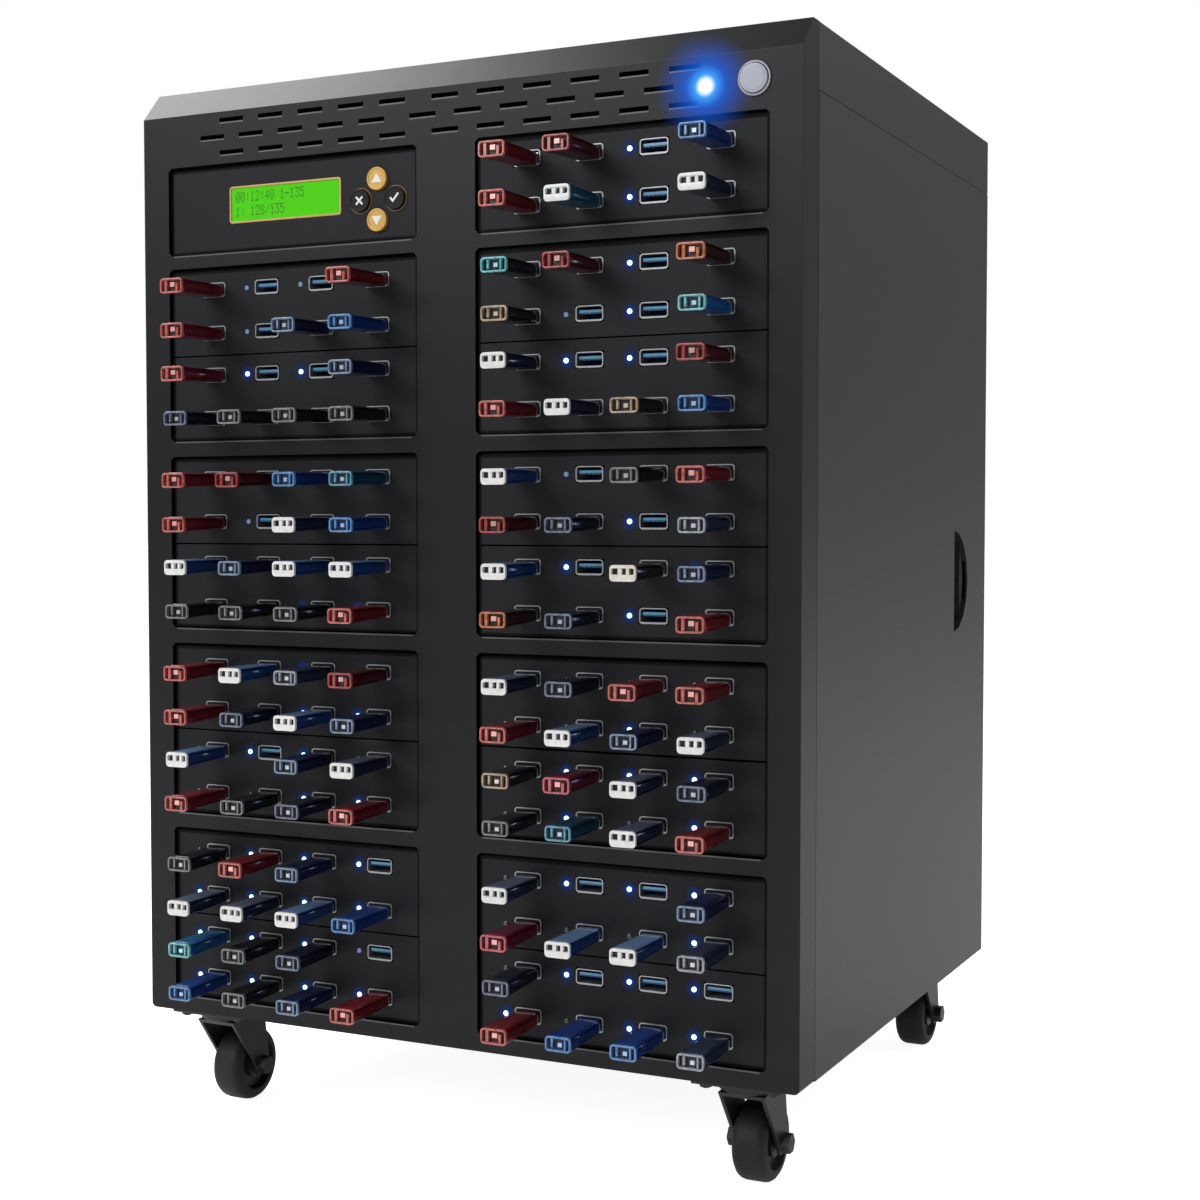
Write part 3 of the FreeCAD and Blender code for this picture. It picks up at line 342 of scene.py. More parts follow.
def paint_picked(piece, index):
    """Gives the picked faces another of the piece's materials."""
    piece.active_material_index = index
    bpy.ops.object.material_slot_assign()


def paint(piece, index, test):
    """Gives the faces that pass another of the piece's materials."""
    pick(piece, test)
    paint_picked(piece, index)


def bevel_picked(width, segments=3):
    bpy.ops.mesh.bevel(offset=width, segments=segments, affect="EDGES")


def smooth(piece, angle):
    """Shades a piece smooth up to an angle in degrees."""
    use(piece)
    bpy.ops.object.shade_smooth_by_angle(angle=math.radians(angle))
    return piece


def slice_at(piece, place, normal):
    """Cuts new edges round the piece where a plane crosses it."""
    pick(piece, everything)
    bpy.ops.mesh.bisect(plane_co=place, plane_no=normal)


def inset(thickness, depth=0.0):
    bpy.ops.mesh.inset(thickness=thickness, depth=depth)


def inset_each(thickness, lift):
    """Insets the picked faces one by one and raises or sinks them along their normals."""
    bpy.ops.mesh.inset(thickness=thickness, use_individual=True)
    bpy.ops.mesh.extrude_faces_move(TRANSFORM_OT_shrink_fatten={"value": lift})


def push(offset):
    """Extrudes the picked faces by an offset."""
    bpy.ops.mesh.extrude_region_move(TRANSFORM_OT_translate={"value": offset})


def round_edges(piece, width, segments=2, angle=35):
    """Rounds the sharp edges with a Bevel modifier and lets the large faces shade flat."""
    use(piece)
    bevel = piece.modifiers.new("edges", "BEVEL")
    bevel.width = width
    bevel.segments = segments
    bevel.limit_method = "ANGLE"
    bevel.angle_limit = math.radians(angle)
    bpy.ops.object.modifier_apply(modifier=bevel.name)
    smooth(piece, 55)
    weights = piece.modifiers.new("flats", "WEIGHTED_NORMAL")
    weights.keep_sharp = True
    bpy.ops.object.modifier_apply(modifier=weights.name)
    return piece


def tidy_normals(piece):
    """Merges doubled corners and turns all faces outwards."""
    pick(piece, everything)
    bpy.ops.mesh.remove_doubles(threshold=1e-6)
    bpy.ops.mesh.normals_make_consistent(inside=False)
    start()


def copy_of(node):
    """A merged copy of a CAD node's mesh, its flat faces joined up."""
    start()
    piece = bpy.data.objects.new(node + "_shape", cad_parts[node].data.copy())
    bpy.context.collection.objects.link(piece)
    piece.data.materials.clear()
    pick(piece, everything)
    bpy.ops.mesh.remove_doubles(threshold=2e-6)
    bpy.ops.mesh.dissolve_limited(angle_limit=math.radians(0.5))
    return use(piece)


def dress(piece, *materials):
    """Gives a piece its materials in place of any others."""
    piece.data.materials.clear()
    for material in materials:
        piece.data.materials.append(material)
    return piece


def refined(node, width, *materials, angle=35):
    """A CAD node's shape with rounded edges and its materials."""
    return dress(round_edges(copy_of(node), width, angle=angle), *materials)


def join(pieces):
    """Makes one piece of several."""
    if len(pieces) > 1:
        use(*pieces)
        bpy.ops.object.join()
    return use(pieces[0])


def copies(master, places):
    """Sets a copy of a modelled shape at every place and joins them; the shape goes."""
    made = []
    for place in places:
        piece = master.copy()
        piece.data = master.data.copy()
        piece.location = place
        bpy.context.collection.objects.link(piece)
        made.append(piece)
    bpy.data.objects.remove(master)
    join(made)
    return applied()


def settle(piece, name, body, slot, *nodes):
    """Names a finished piece, gives it its body and hides its nodes; the finish slot is not used.
    """
    start()
    piece.name = name
    piece.data.name = name
    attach(piece, body)
    if nodes:
        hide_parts(*nodes)
    return piece


def solids(node):
    """The box of each separate solid of a CAD node."""
    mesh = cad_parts[node].data
    keys = [tuple(round(value, 6) for value in corner.co) for corner in mesh.vertices]
    owner = {key: key for key in keys}

    def root(key):
        while owner[key] != key:
            owner[key] = owner[owner[key]]
            key = owner[key]
        return key

    for face in mesh.polygons:
        first = root(keys[face.vertices[0]])
        for index in face.vertices[1:]:
            owner[root(keys[index])] = first
    groups = {}
    for key in owner:
        groups.setdefault(root(key), []).append(key)
    return [(Vector(map(min, zip(*group))), Vector(map(max, zip(*group))))
            for group in groups.values()]


def ports():
    """Side, row, place in the row and centre of every socket, read from the CAD sockets."""
    found = []
    centres = [(low + high) / 2 for low, high in solids("usb_sockets")]
    for side, sign in (("left", -1), ("right", 1)):
        own = sorted((centre for centre in centres if centre.x * sign > 0),
                     key=lambda centre: (-round(centre.z, 4), centre.x))
        if len(own) != 4 * len(STICK_ROWS[side]):
            raise RuntimeError(f"{len(own)} sockets in the {side} column")
        found += [(side, index // 4, index % 4, centre) for index, centre in enumerate(own)]
    return found


# ------------------------------------------------------------------ finishes


def set_values(node, values):
    """Sets the values of a node's inputs by label or place."""
    for label, value in values.items():
        node.inputs[label].default_value = value
    return node


def add_node(tree, kind, values=None, **settings):
    """A new shader node with its settings and the values of its inputs."""
    node = tree.nodes.new(kind)
    for name, value in settings.items():
        setattr(node, name, value)
    return set_values(node, values or {})


def wire(tree, *joins):
    """Links nodes: source, its output, target and its input for each link."""
    for source, output, target, entry in joins:
        tree.links.new(source.outputs[output], target.inputs[entry])


def grain_group():
    """Fine moulded or powder-coated grain: a bumped normal and a slow drift of tone."""
    if "surface_grain" in bpy.data.node_groups:
        return bpy.data.node_groups["surface_grain"]
    group = bpy.data.node_groups.new("surface_grain", "ShaderNodeTree")
    for label, value in (("Size", 1400.0), ("Depth", 0.1), ("Drift", 9.0), ("Stretch", 1.0)):
        group.interface.new_socket(label, in_out="INPUT", socket_type="NodeSocketFloat")
        group.interface.items_tree[label].default_value = value
    for label, kind in (("Normal", "Vector"), ("Tone", "Float"), ("Speck", "Float")):
        group.interface.new_socket(label, in_out="OUTPUT", socket_type="NodeSocket" + kind)
    entry, leave = add_node(group, "NodeGroupInput"), add_node(group, "NodeGroupOutput")
    place = add_node(group, "ShaderNodeTexCoord")
    stretch = add_node(group, "ShaderNodeMapping")
    scale = add_node(group, "ShaderNodeCombineXYZ", {"Y": 1.0, "Z": 1.0})
    fine = add_node(group, "ShaderNodeTexNoise", {"Detail": 3.0})
    slow = add_node(group, "ShaderNodeTexNoise", {"Detail": 4.0})
    bump = add_node(group, "ShaderNodeBump", {"Distance": 0.0002})
    wire(group, (place, "Object", stretch, "Vector"), (entry, "Stretch", scale, "X"),
         (scale, "Vector", stretch, "Scale"), (stretch, "Vector", fine, "Vector"),
         (place, "Object", slow, "Vector"), (entry, "Size", fine, "Scale"),
         (entry, "Drift", slow, "Scale"), (entry, "Depth", bump, "Strength"),
         (fine, "Fac", bump, "Height"), (bump, "Normal", leave, "Normal"),
         (slow, "Fac", leave, "Tone"), (fine, "Fac", leave, "Speck"))
    return group


def finish(name, colour, roughness, second=None, grain=(1400.0, 0.1, 9.0, 1.0), swing=0.08,
           **sockets):
    """A finish whose colour drifts to a second tone, with grain in its roughness and normal."""
    name += "_look"
    if name in bpy.data.materials:
        return bpy.data.materials[name]
    material = bpy.data.materials.new(name)
    material.use_nodes = True
    tree = material.node_tree
    shader = tree.nodes["Principled BSDF"]
    texture = add_node(tree, "ShaderNodeGroup",
                       dict(zip(("Size", "Depth", "Drift", "Stretch"), grain)),
                       node_tree=grain_group())
    second = second or tuple(min(1.0, value * 1.35) for value in colour)
    tone = add_node(tree, "ShaderNodeMix", {6: (*colour, 1), 7: (*second, 1)},
                    data_type="RGBA")
    gloss = add_node(tree, "ShaderNodeMapRange", {"To Min": max(0.02, roughness - swing),
                                                  "To Max": min(1.0, roughness + swing)})
    wire(tree, (texture, "Tone", tone, 0), (tone, 2, shader, "Base Color"),
         (texture, "Speck", gloss, "Value"), (gloss, "Result", shader, "Roughness"),
         (texture, "Normal", shader, "Normal"))
    set_values(shader, {label.replace("_", " "): value for label, value in sockets.items()})
    return material


def bezel_plastic():
    settings = bpy.context.scene.duplicator_case
    return finish("bezel_plastic", tuple(settings.bezel_colour), 0.36,
                  grain=(2300.0, 0.14, 7.0, 1.0), Specular_IOR_Level=0.25)


def case_paint():
    settings = bpy.context.scene.duplicator_case
    return finish("case_paint", tuple(settings.paint_colour), 0.44,
                  grain=(1500.0, 0.20, 5.0, 1.0), Specular_IOR_Level=0.53)


def plate_plastic():
    settings = bpy.context.scene.duplicator_case
    return finish("plate_plastic", tuple(settings.plate_colour), 0.46,
                  grain=(2600.0, 0.12, 12.0, 1.0), Specular_IOR_Level=0.2)


def reveal_shade():
    return finish("reveal_shade", (0.0030, 0.0030, 0.0036), 0.6, Specular_IOR_Level=0.1)


def bright_steel():
    return finish("bright_steel", (0.62, 0.63, 0.66), 0.24, (0.74, 0.75, 0.78),
                  grain=(3000.0, 0.05, 40.0, 0.1), Metallic=1.0)


def dark_steel():
    return finish("dark_steel", (0.016, 0.016, 0.015), 0.42, (0.026, 0.026, 0.024),
                  grain=(2200.0, 0.12, 30.0, 0.3), Metallic=0.2)


def zinc_sheet():
    return finish("zinc_sheet", (0.46, 0.47, 0.48), 0.36, (0.60, 0.61, 0.62),
                  grain=(260.0, 0.06, 60.0, 1.0), Metallic=1.0)


def deep_black():
    return finish("deep_black", (0.004, 0.004, 0.005), 0.6, Specular_IOR_Level=0.2)


def glow_material(name, colour, strength, core):
    """A soft glow that fades from a bright core to nothing at the rim of its disc."""
    material = bpy.data.materials.new(name)
    material.use_nodes = True
    tree = material.node_tree
    shader = set_values(tree.nodes["Principled BSDF"], {
        "Base Color": (0, 0, 0, 1), "Roughness": 1.0, "Specular IOR Level": 0.0,
        "Emission Strength": strength})
    spot = add_node(tree, "ShaderNodeUVMap", uv_map="UVMap")
    centre = add_node(tree, "ShaderNodeMapping", {"Location": (-1, -1, 0), "Scale": (2, 2, 1)})
    ball = add_node(tree, "ShaderNodeTexGradient", gradient_type="SPHERICAL")
    fade = add_node(tree, "ShaderNodeMath", {1: 1.9}, operation="POWER")
    shade = add_node(tree, "ShaderNodeValToRGB")
    rim, heart = shade.color_ramp.elements
    rim.color, rim.position = (*colour, 1), max(0, 1 - core * 2.2)
    heart.color, heart.position = (0.85, 0.95, 1.0, 1), min(0.99, 1 - core * 0.6)
    shade.color_ramp.elements.new(1 - core * 1.15).color = (0.05, 0.36, 1.0, 1)
    wire(tree, (spot, "UV", centre, "Vector"), (centre, "Vector", ball, "Vector"),
         (ball, "Fac", fade, 0), (fade, "Value", shader, "Alpha"),
         (ball, "Fac", shade, "Fac"), (shade, "Color", shader, "Emission Color"))
    return material


def lit_by(material, emission):
    """Sets the colour that a material shines in."""
    set_values(material.node_tree.nodes["Principled BSDF"], {"Emission Color": (*emission, 1)})
    return material


def lamp_material(name, colour, emission, strength):
    """A small lens: clear plastic over a light that is lit, faint or out."""
    material = finish(name, colour, 0.15, grain=(900.0, 0.04, 90.0, 1.0), Coat_Weight=0.6,
                      Emission_Strength=strength)
    return lit_by(material, emission) if strength else material


# ------------------------------------------------------------------ pieces


def lips():
    """Ends and height of the painted highlight strip on the lower lip of every vent slot and every
    bay opening.
    """
    spans = [(first + (step + shift) * pitch - SLOT_HALF,
              first + (step + shift) * pitch + SLOT_HALF, SLOT_EDGE - SLOT_PITCH * row)
             for row, shift in enumerate(SLOT_SHIFTS)
             for first, pitch, count in SLOT_GROUPS for step in range(count)]
    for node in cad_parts:
        if "_faceplates_" in node or node == "control_panel_plate":
            low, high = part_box(node)
            spans.append((low[0] / MM + 2.5, high[0] / MM - 2.5, (low[2] - UNDER_Z) / MM - LIP_HIGHLIGHT))
    return spans


class DUPLICATOR_OT_front_bezel(bpy.types.Operator):
    """Moulded front with its two columns of bays, vent slots and bevelled top"""

    bl_idname = "duplicator.front_bezel"
    bl_label = "Front bezel"

    def execute(self, context):
        bezel = copy_of("front_bezel")
        half_width = BEZEL_HIGH[0] - 1e-5
        pick(bezel, lambda spot, way: abs(way.y) > 0.99 and abs(spot.x) > half_width
             and spot.z < UNDER_Z + 1e-5, "EDGE")
        bevel_picked(2.5 * MM)
        round_edges(bezel, context.scene.duplicator_case.bezel_round, segments=3)
        # The lighter grey of the lips and the crease is a painted highlight.
        lip = finish("polished_lip", (0.080, 0.083, 0.090), 0.3, Specular_IOR_Level=0.5)
        dress(bezel, bezel_plastic(), reveal_shade(), lip)
        # Painted shade on the reveals of the bays, then a painted highlight on the rounded lower
        # lips of the bays and slots.
        paint(bezel, 1, lambda spot, way: abs(way.y) < 0.2 and way.z < 0.8
              and FRONT_Y + 0.6 * MM < spot.y and abs(spot.x) < half_width - 2 * MM
              and spot.z < UNDER_Z + BAYS_TOP * MM)
        paint(bezel, 2, lambda spot, way: way.z > 0.25 and way.y < -0.25
              and spot.z < UNDER_Z + SLOTS_TOP * MM)
        # A painted highlight on the crease between the front and the bevelled top, and on the
        # bevel's two ends.
        paint(bezel, 2, lambda spot, way: way.y < -0.2 and UNDER_Z + CREASE * MM < spot.z
              and (0.2 < way.z < 0.6 and abs(way.x) < 0.1
                   or way.z > 0.2 and 0.35 < abs(way.x) < 0.9))
        # Thin strips of the same painted highlight along the lower edge of every slot and bay
        # opening.
        strips = [dress(add_block(at(left, -0.04, top - LIP_HIGHLIGHT), at(right, 0.2, top)), lip)
                  for left, right, top in lips()]
        settle(join([bezel] + strips), "bezel_moulding", "cabinet", "bezel_plastic",
               "front_bezel")
        return {"FINISHED"}


class DUPLICATOR_OT_case_sheets(bpy.types.Operator):
    """Base pan, top cover, rear panel and the two sliding side panels"""

    bl_idname = "duplicator.case_sheets"
    bl_label = "Case sheets"

    def execute(self, context):
        sheets = (("base_pan", "cabinet"), ("top_cover", "cabinet"), ("rear_panel", "cabinet"),
                  ("left_side_panel", "left_panel"), ("right_side_panel", "right_panel"))
        for node, body in sheets:
            sheet = refined(node, context.scene.duplicator_case.sheet_round, case_paint())
            settle(sheet, node + "_sheet", body, "case_paint", node)
        return {"FINISHED"}


class DUPLICATOR_OT_faceplates(bpy.types.Operator):
    """Faceplates of the modules and of the control panel"""

    bl_idname = "duplicator.faceplates"
    bl_label = "Faceplates"

    def execute(self, context):
        plates = [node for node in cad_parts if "_faceplates_" in node]
        for node in sorted(plates) + ["control_panel_plate"]:
            plate = copy_of(node)
            low, high = corners(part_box(node))
            shade_border = SHADE_BORDER * MM
            for place, normal in ((low, (1, 0, 0)), (low, (0, 0, 1)),
                                  (high, (-1, 0, 0)), (high, (0, 0, -1))):
                slice_at(plate, place + Vector(normal) * shade_border, normal)
            round_edges(plate, 0.35 * MM)
            for side, reach in FLANGES:
                outwards = Vector(side)
                edge = max(outwards.dot(low), outwards.dot(high)) - 0.05 * MM
                pick(plate, lambda spot, way: way.dot(outwards) > 0.95
                     and spot.dot(outwards) > edge)
                push(outwards * reach * MM)
                start()
            dress(plate, plate_plastic(), reveal_shade())
            # The band along the edges and the flanges get painted shade, as the gap round the
            # plate lies in shadow.
            paint(plate, 1, lambda spot, way: not (
                low.x + shade_border < spot.x < high.x - shade_border
                and low.z + shade_border < spot.z < high.z - shade_border))
            settle(plate, node + "_moulding", "cabinet", "faceplate_plastic", node)
        return {"FINISHED"}


def socket_shell(cavity_depth):
    """Bright shell of a socket round the origin of a port: rolled corners and a rim."""
    half_width, half_height = SOCKET_HALF
    shell = add_block(mm(-half_width, MOUTH, -half_height),
                      mm(half_width, SOCKET_BACK, half_height))
    pick(shell, lambda spot, way: abs(way.y) > 0.9, "EDGE")
    bevel_picked(1.5 * MM)
    # The cavity's walls and back are painted dark navy: the blue of the socket's insides, darkened
    # as painted shade.
    hollow = finish("socket_hollow", (0.007, 0.045, 0.14), 0.5, Specular_IOR_Level=0.2)
    rim = finish("socket_rim", (0.30, 0.31, 0.33), 0.34, (0.44, 0.45, 0.47), Metallic=0.7)
    dress(shell, rim, hollow)
    pick(shell, frontwards)
    inset(0.5 * MM)
    push((0, cavity_depth, 0))
    paint_picked(shell, 1)
    # The floor of the hollow stands a little higher, under the tongue.
    pick(shell, lambda spot, way: way.z > 0.9 and spot.z < 0 and spot.y > MOUTH * MM)
    bpy.ops.transform.translate(value=mm(0, 0, 0.35))
    return smooth(shell, 40)


class DUPLICATOR_OT_sockets(bpy.types.Operator):
    """USB sockets: free ones open with their blue tongues, filled ones as a bright rim"""

    bl_idname = "duplicator.sockets"
    bl_label = "Sockets"

    def execute(self, context):
        free, filled = [], []
        for side, row, place, centre in ports():
            holds = STICK_ROWS[side][row][place]
            (free if holds in ".S" else filled).append(on_face(centre))
        shells = [copies(socket_shell(12.5 * MM), free), copies(socket_shell(0.5 * MM), filled)]
        settle(join(shells), "socket_shells", "cabinet", "socket_steel", "usb_sockets")

        blue = finish("tongue_blue", (0.003, 0.040, 0.14), 0.35, (0.005, 0.060, 0.20))
        pale = finish("tongue_edge", (0.05, 0.22, 0.36), 0.3, (0.12, 0.40, 0.58), Coat_Weight=0.5)
        gold = finish("contact_gold", (0.75, 0.52, 0.20), 0.25, Metallic=1.0)
        tongue = add_block(mm(-6.1, 0, -0.9), mm(6.1, 9, 0.95))
        dress(tongue, blue, pale, gold)
        # The upper part of the tongue's front, inside a thin blue rim, is painted pale blue: a
        # painted highlight on its front edge.
        slice_at(tongue, mm(0, 0, -0.45), (0, 0, 1))
        pick(tongue, lambda spot, way: way.y < -0.9 and spot.z > -0.4 * MM)
        inset(0.12 * MM, -0.2 * MM)
        paint_picked(tongue, 1)
        strips = [dress(add_block(mm(x - 0.5, 0.8, -1), mm(x + 0.5, 7, -0.85)), gold)
                  for x in CONTACTS]
        tongue = join([tongue] + strips)
        held_low, held_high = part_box("source_stick")
        spots = []
        for low, high in solids("socket_tongues"):
            middle = (low + high) / 2
            held = held_low[0] < middle.x < held_high[0] and held_low[2] < middle.z < held_high[2]
            spots.append(Vector((middle.x, low.y if held else FRONT_Y + TONGUE_FRONT * MM,
                                 middle.z)))
        settle(copies(tongue, spots), "contact_tongues", "cabinet", "socket_blue",
               "socket_tongues")
        return {"FINISHED"}


class DUPLICATOR_OT_status_lights(bpy.types.Operator):
    """Lens beside every socket, with a glow round the lit ones"""

    bl_idname = "duplicator.status_lights"
    bl_label = "Status lights"

    def lens(self, material):
        """Round domed lens, standing on the plate at the origin."""
        dome = add_face((0, 0, 0), 1.2 * MM, 12)
        pick(dome, everything)
        push(mm(0, -0.45, 0))
        push(mm(0, -0.35, 0))
        bpy.ops.transform.resize(value=(0.62, 1, 0.62))
        tidy_normals(dome)
        return dress(smooth(dome, 50), material)

    def execute(self, context):
        settings = context.scene.duplicator_light
        colour = tuple(settings.glow_colour)
        lenses = solids("status_lights")
        spots = {"*": [], "o": [], "-": []}
        for side, row, place, centre in ports():
            low, high = min(lenses, key=lambda box: (
                (box[0].x + box[1].x) / 2 - centre.x + LIGHT_OFFSET * MM) ** 2
                + ((box[0].z + box[1].z) / 2 - centre.z) ** 2)
            spot = Vector(((low.x + high.x) / 2, high.y, (low.z + high.z) / 2))
            spots[LIGHT_ROWS[side][row][place]].append(spot)
        looks = {
            "*": lamp_material("lens_lit", (0.5, 0.7, 1.0), (0.62, 0.78, 1.0), 3.2),
            "o": lamp_material("lens_faint", (0.07, 0.10, 0.15), (0.25, 0.45, 0.9), 0.25),
            "-": lamp_material("lens_out", (0.035, 0.038, 0.045), (0, 0, 0), 0.0),
        }
        pieces = [copies(self.lens(looks[state]), places) for state, places in spots.items()]
        glow = dress(add_face(mm(0, -0.15, 0), settings.glow_radius, 16),
                               glow_material("status_glow", colour, 0.4, 0.12))
        pieces.append(copies(glow, spots["*"]))
        settle(join(pieces), "status_lenses", "cabinet", "light_blue", "status_lights")
        return {"FINISHED"}


def stick_shape(letter, reach, width, height):
    """Housing of a stick round its port's origin: a wedge that hangs at its tip, with a framed
    hollow end in painted shade, a raised top panel in a painted highlight, a rib along each side."""
    settings = bpy.context.scene.duplicator_stick
    body_tone, end_tone, lit_top_tone = STICK_TONES[letter]
    pale, red = letter in "wvuy", letter in "rdmo"
    body = finish(f"stick_body_{letter}", body_tone, 0.16, grain=(700.0, 0.03, 160.0, 1.0),
                  swing=0.06, Coat_Weight=0.4)
    end = finish(f"stick_end_{letter}", end_tone if pale else (0, 0, 0), 0.2 if pale else 0.14,
                 tuple(min(1, tone * 2.4) for tone in end_tone),
                 grain=(900.0, 0.05, 420.0, 1.0), swing=0.06, Coat_Weight=0.6)
    # The top's lighter tone is a painted highlight: the body lit from above.
    panel = finish(f"stick_panel_{letter}", lit_top_tone, 0.22, grain=(800.0, 0.04, 190.0, 0.3),
                   swing=0.08, Coat_Weight=0.4)
    # The recess in the end is painted shade: the body's colour darkened.
    hollow = finish(f"stick_hollow_{letter}", tuple(tone * 0.3 for tone in body_tone), 0.4)
    bright = finish(f"stick_glint_{letter}", tuple(min(0.85, 0.3 + tone) for tone in end_tone),
                    0.2, Metallic=0.4)
    stick = add_block(mm(-width / 2, -reach, -(height / 2 + STICK_DROOP)),
                      mm(width / 2, MOUTH - 0.02, height / 2 - STICK_DROOP))
    dress(stick, body, end, panel, hollow, bright)
    pick(stick, lambda spot, way: spot.y > 0, "VERT")
    bpy.ops.transform.resize(value=(STICK_ROOT[0] / width, 1, STICK_ROOT[1] / height),
                             center_override=mm(0, 0, -STICK_DROOP))
    bpy.ops.transform.translate(value=mm(0, 0, STICK_DROOP - STICK_ROOT[2]))
    pick(stick, lambda spot, way: abs(way.y) > 0.95, "EDGE")
    bevel_picked(settings.edge_round)
    # The end cap, the panel on top in a painted highlight, the raised fields between cap and neck.
    tip, neck = -reach * MM, -5 * MM
    seam = tip + settings.end_length
    behind = seam + 0.4 * MM
    for place in (seam, behind, neck):
        slice_at(stick, (0, place, 0), (0, 1, 0))
    paint(stick, 1, lambda spot, way: spot.y < seam)
    paint(stick, 2, lambda spot, way: way.z > 0.9 and spot.y > seam)
    pick(stick, lambda spot, way: max(abs(way.x), way.z) > 0.95 and behind < spot.y < neck)
    inset_each(0.9 * MM, 0.25 * MM)
    pick(stick, lambda spot, way: way.y < -0.9 and spot.y < tip + 1e-5)
    inset(settings.frame_wall)
    if pale:
        bpy.ops.transform.translate(value=mm(0, 0, 0.8))
        bpy.ops.transform.resize(value=(1, 1, 0.5),
                                 center_override=mm(0, -reach, 0.8 - STICK_DROOP))
    push(mm(0, 2.2, 0))
    paint_picked(stick, 3)
    start()
    round_edges(stick, 0.35 * MM, segments=1, angle=50)
    # Upright bits in the hollow: middle, half size, and material, the end's or the bright one.
    wall = height / 2 - settings.frame_wall / MM - 0.1
    if pale:
        bits = ((-1.6, 0.8, 0.9, wall, 1), (2.2, 0.8, 0.7, wall, 1))
    elif red:
        bits = ((-3.4, 0, 0.7, wall, 1), (0.6, 0.6, 1.3, 1.1, 4), (3.2, -0.9, 0.6, wall * 0.8, 1))
    else:
        bits = ((-3.2, 0.3, 0.5, wall * 0.8, 1), (0.9, -0.2, 1.0, 0.9, 4), (3.4, 0, 0.4, wall, 1))
    pieces = [stick]
    for x, z, half_width, half_height, index in bits:
        z -= STICK_DROOP
        bit = add_block(mm(x - half_width, 0.5 - reach, z - half_height),
                        mm(x + half_width, 2.3 - reach, z + half_height))
        pieces.append(dress(bit, end if index == 1 else bright))
    return join(pieces)


class DUPLICATOR_OT_sticks(bpy.types.Operator):
    """Sticks in the sockets, in their mixed colours"""

    bl_idname = "duplicator.sticks"
    bl_label = "Sticks"

    def execute(self, context):
        held = {}
        for side, row, place, centre in ports():
            letter = STICK_ROWS[side][row][place]
            held.setdefault(letter, []).append(on_face(centre))
        for node, (letters, slot, reach, width, height) in STICK_NODES.items():
            expected = sum(len(held[letter]) for letter in letters)
            if expected != len(solids(node)):
                raise RuntimeError(f"{node}: {expected} sticks, {len(solids(node))} solids")
            groups = [copies(stick_shape(letter, reach, width, height), held[letter])
                      for letter in letters]
            settle(join(groups), node + "_housings", "cabinet", slot, node)
        return {"FINISHED"}


class DUPLICATOR_OT_source_stick(bpy.types.Operator):
    """Source stick with its plug, which pulls out of the first socket"""

    bl_idname = "duplicator.source_stick"
    bl_label = "Source stick"

    def execute(self, context):
        housing = stick_shape("r", *STICK_NODES["red_sticks"][2:])
        plug = add_block(mm(-6, MOUTH, -2.25), mm(6, 13.3, 2.25))
        dress(plug, bright_steel(), deep_black())
        pick(plug, lambda spot, way: way.y > 0.9)
        inset(0.3 * MM)
        push(mm(0, -8, 0))
        paint_picked(plug, 1)
        start()
        round_edges(plug, 0.2 * MM, segments=1)
        windows = [dress(add_block(mm(x - 1.1, 6, 2.2), mm(x + 1.1, 8.4, 2.27)),
                                   deep_black()) for x in (-2.4, 2.4)]
        low, high = corners(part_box("source_stick"))
        spot = Vector(((low.x + high.x) / 2, FRONT_Y,
                       low.z + (STICK_NODES["red_sticks"][4] / 2 + STICK_DROOP) * MM))
        stick = copies(join([housing, plug] + windows), [spot])
        settle(stick, "source_stick_housing", "source_stick", "stick_red", "source_stick")
        return {"FINISHED"}


class DUPLICATOR_OT_display(bpy.types.Operator):
    """Lit display window with its dot numerals and thin frame"""

    bl_idname = "duplicator.display"
    bl_label = "Display"

    def execute(self, context):
        low, high = corners(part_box("lcd_window"))
        ground = tuple(context.scene.duplicator_light.display_colour)
        lit = finish("display_lit", ground, 0.5, tuple(min(1, tone * 1.2) for tone in ground),
                     grain=(300.0, 0.02, 24.0, 1.0), Emission_Strength=0.55,
                     Specular_IOR_Level=0.1)
        window = dress(copy_of("lcd_window"), lit_by(lit, ground))
        pick(window, frontwards)
        inset(0.6 * MM, -0.15 * MM)
        settle(window, "display_glass", "cabinet", "lcd_green", "lcd_window")

        first = Vector((low.x, low.y, high.z)) + mm(2.8, -0.05, -2.2)
        spots = [first + mm(column * NUMERAL_PITCH + step * DOT_WIDE, 0,
                            -line * LINE_PITCH - level * DOT_TALL)
                 for line, text in enumerate(DISPLAY_LINES)
                 for column, mark in enumerate(text)
                 for level, bits in enumerate(NUMERALS.get(mark, ()))
                 for step in range(5) if bits >> (4 - step) & 1]
        start()
        bpy.ops.mesh.primitive_plane_add(size=DOT_WIDE * 0.9 * MM, rotation=FACING)
        dot = dress(applied(), finish("display_ink", (0.008, 0.085, 0.006), 0.5))
        pick(dot, everything)
        bpy.ops.transform.resize(value=(1, 1, DOT_TALL / DOT_WIDE), center_override=(0, 0, 0))
        settle(copies(dot, spots), "display_dots", "cabinet", "lcd_green")

        surround = add_block(low - mm(1, 0.5, 1),
                             Vector((high.x, low.y, high.z)) + mm(1, 0, 1))
        pick(surround, lambda spot, way: abs(way.y) > 0.95, "EDGE")
        bevel_picked(1.6 * MM)
        pick(surround, lambda spot, way: abs(way.y) > 0.9)
        inset(1.0 * MM)
        bpy.ops.mesh.bridge_edge_loops()
        tidy_normals(surround)
        dress(surround, finish("frame_tan", (0.50, 0.29, 0.12), 0.4, Metallic=0.3))
        round_edges(surround, 0.15 * MM)
        settle(surround, "display_surround", "cabinet", "lcd_green")
        return {"FINISHED"}


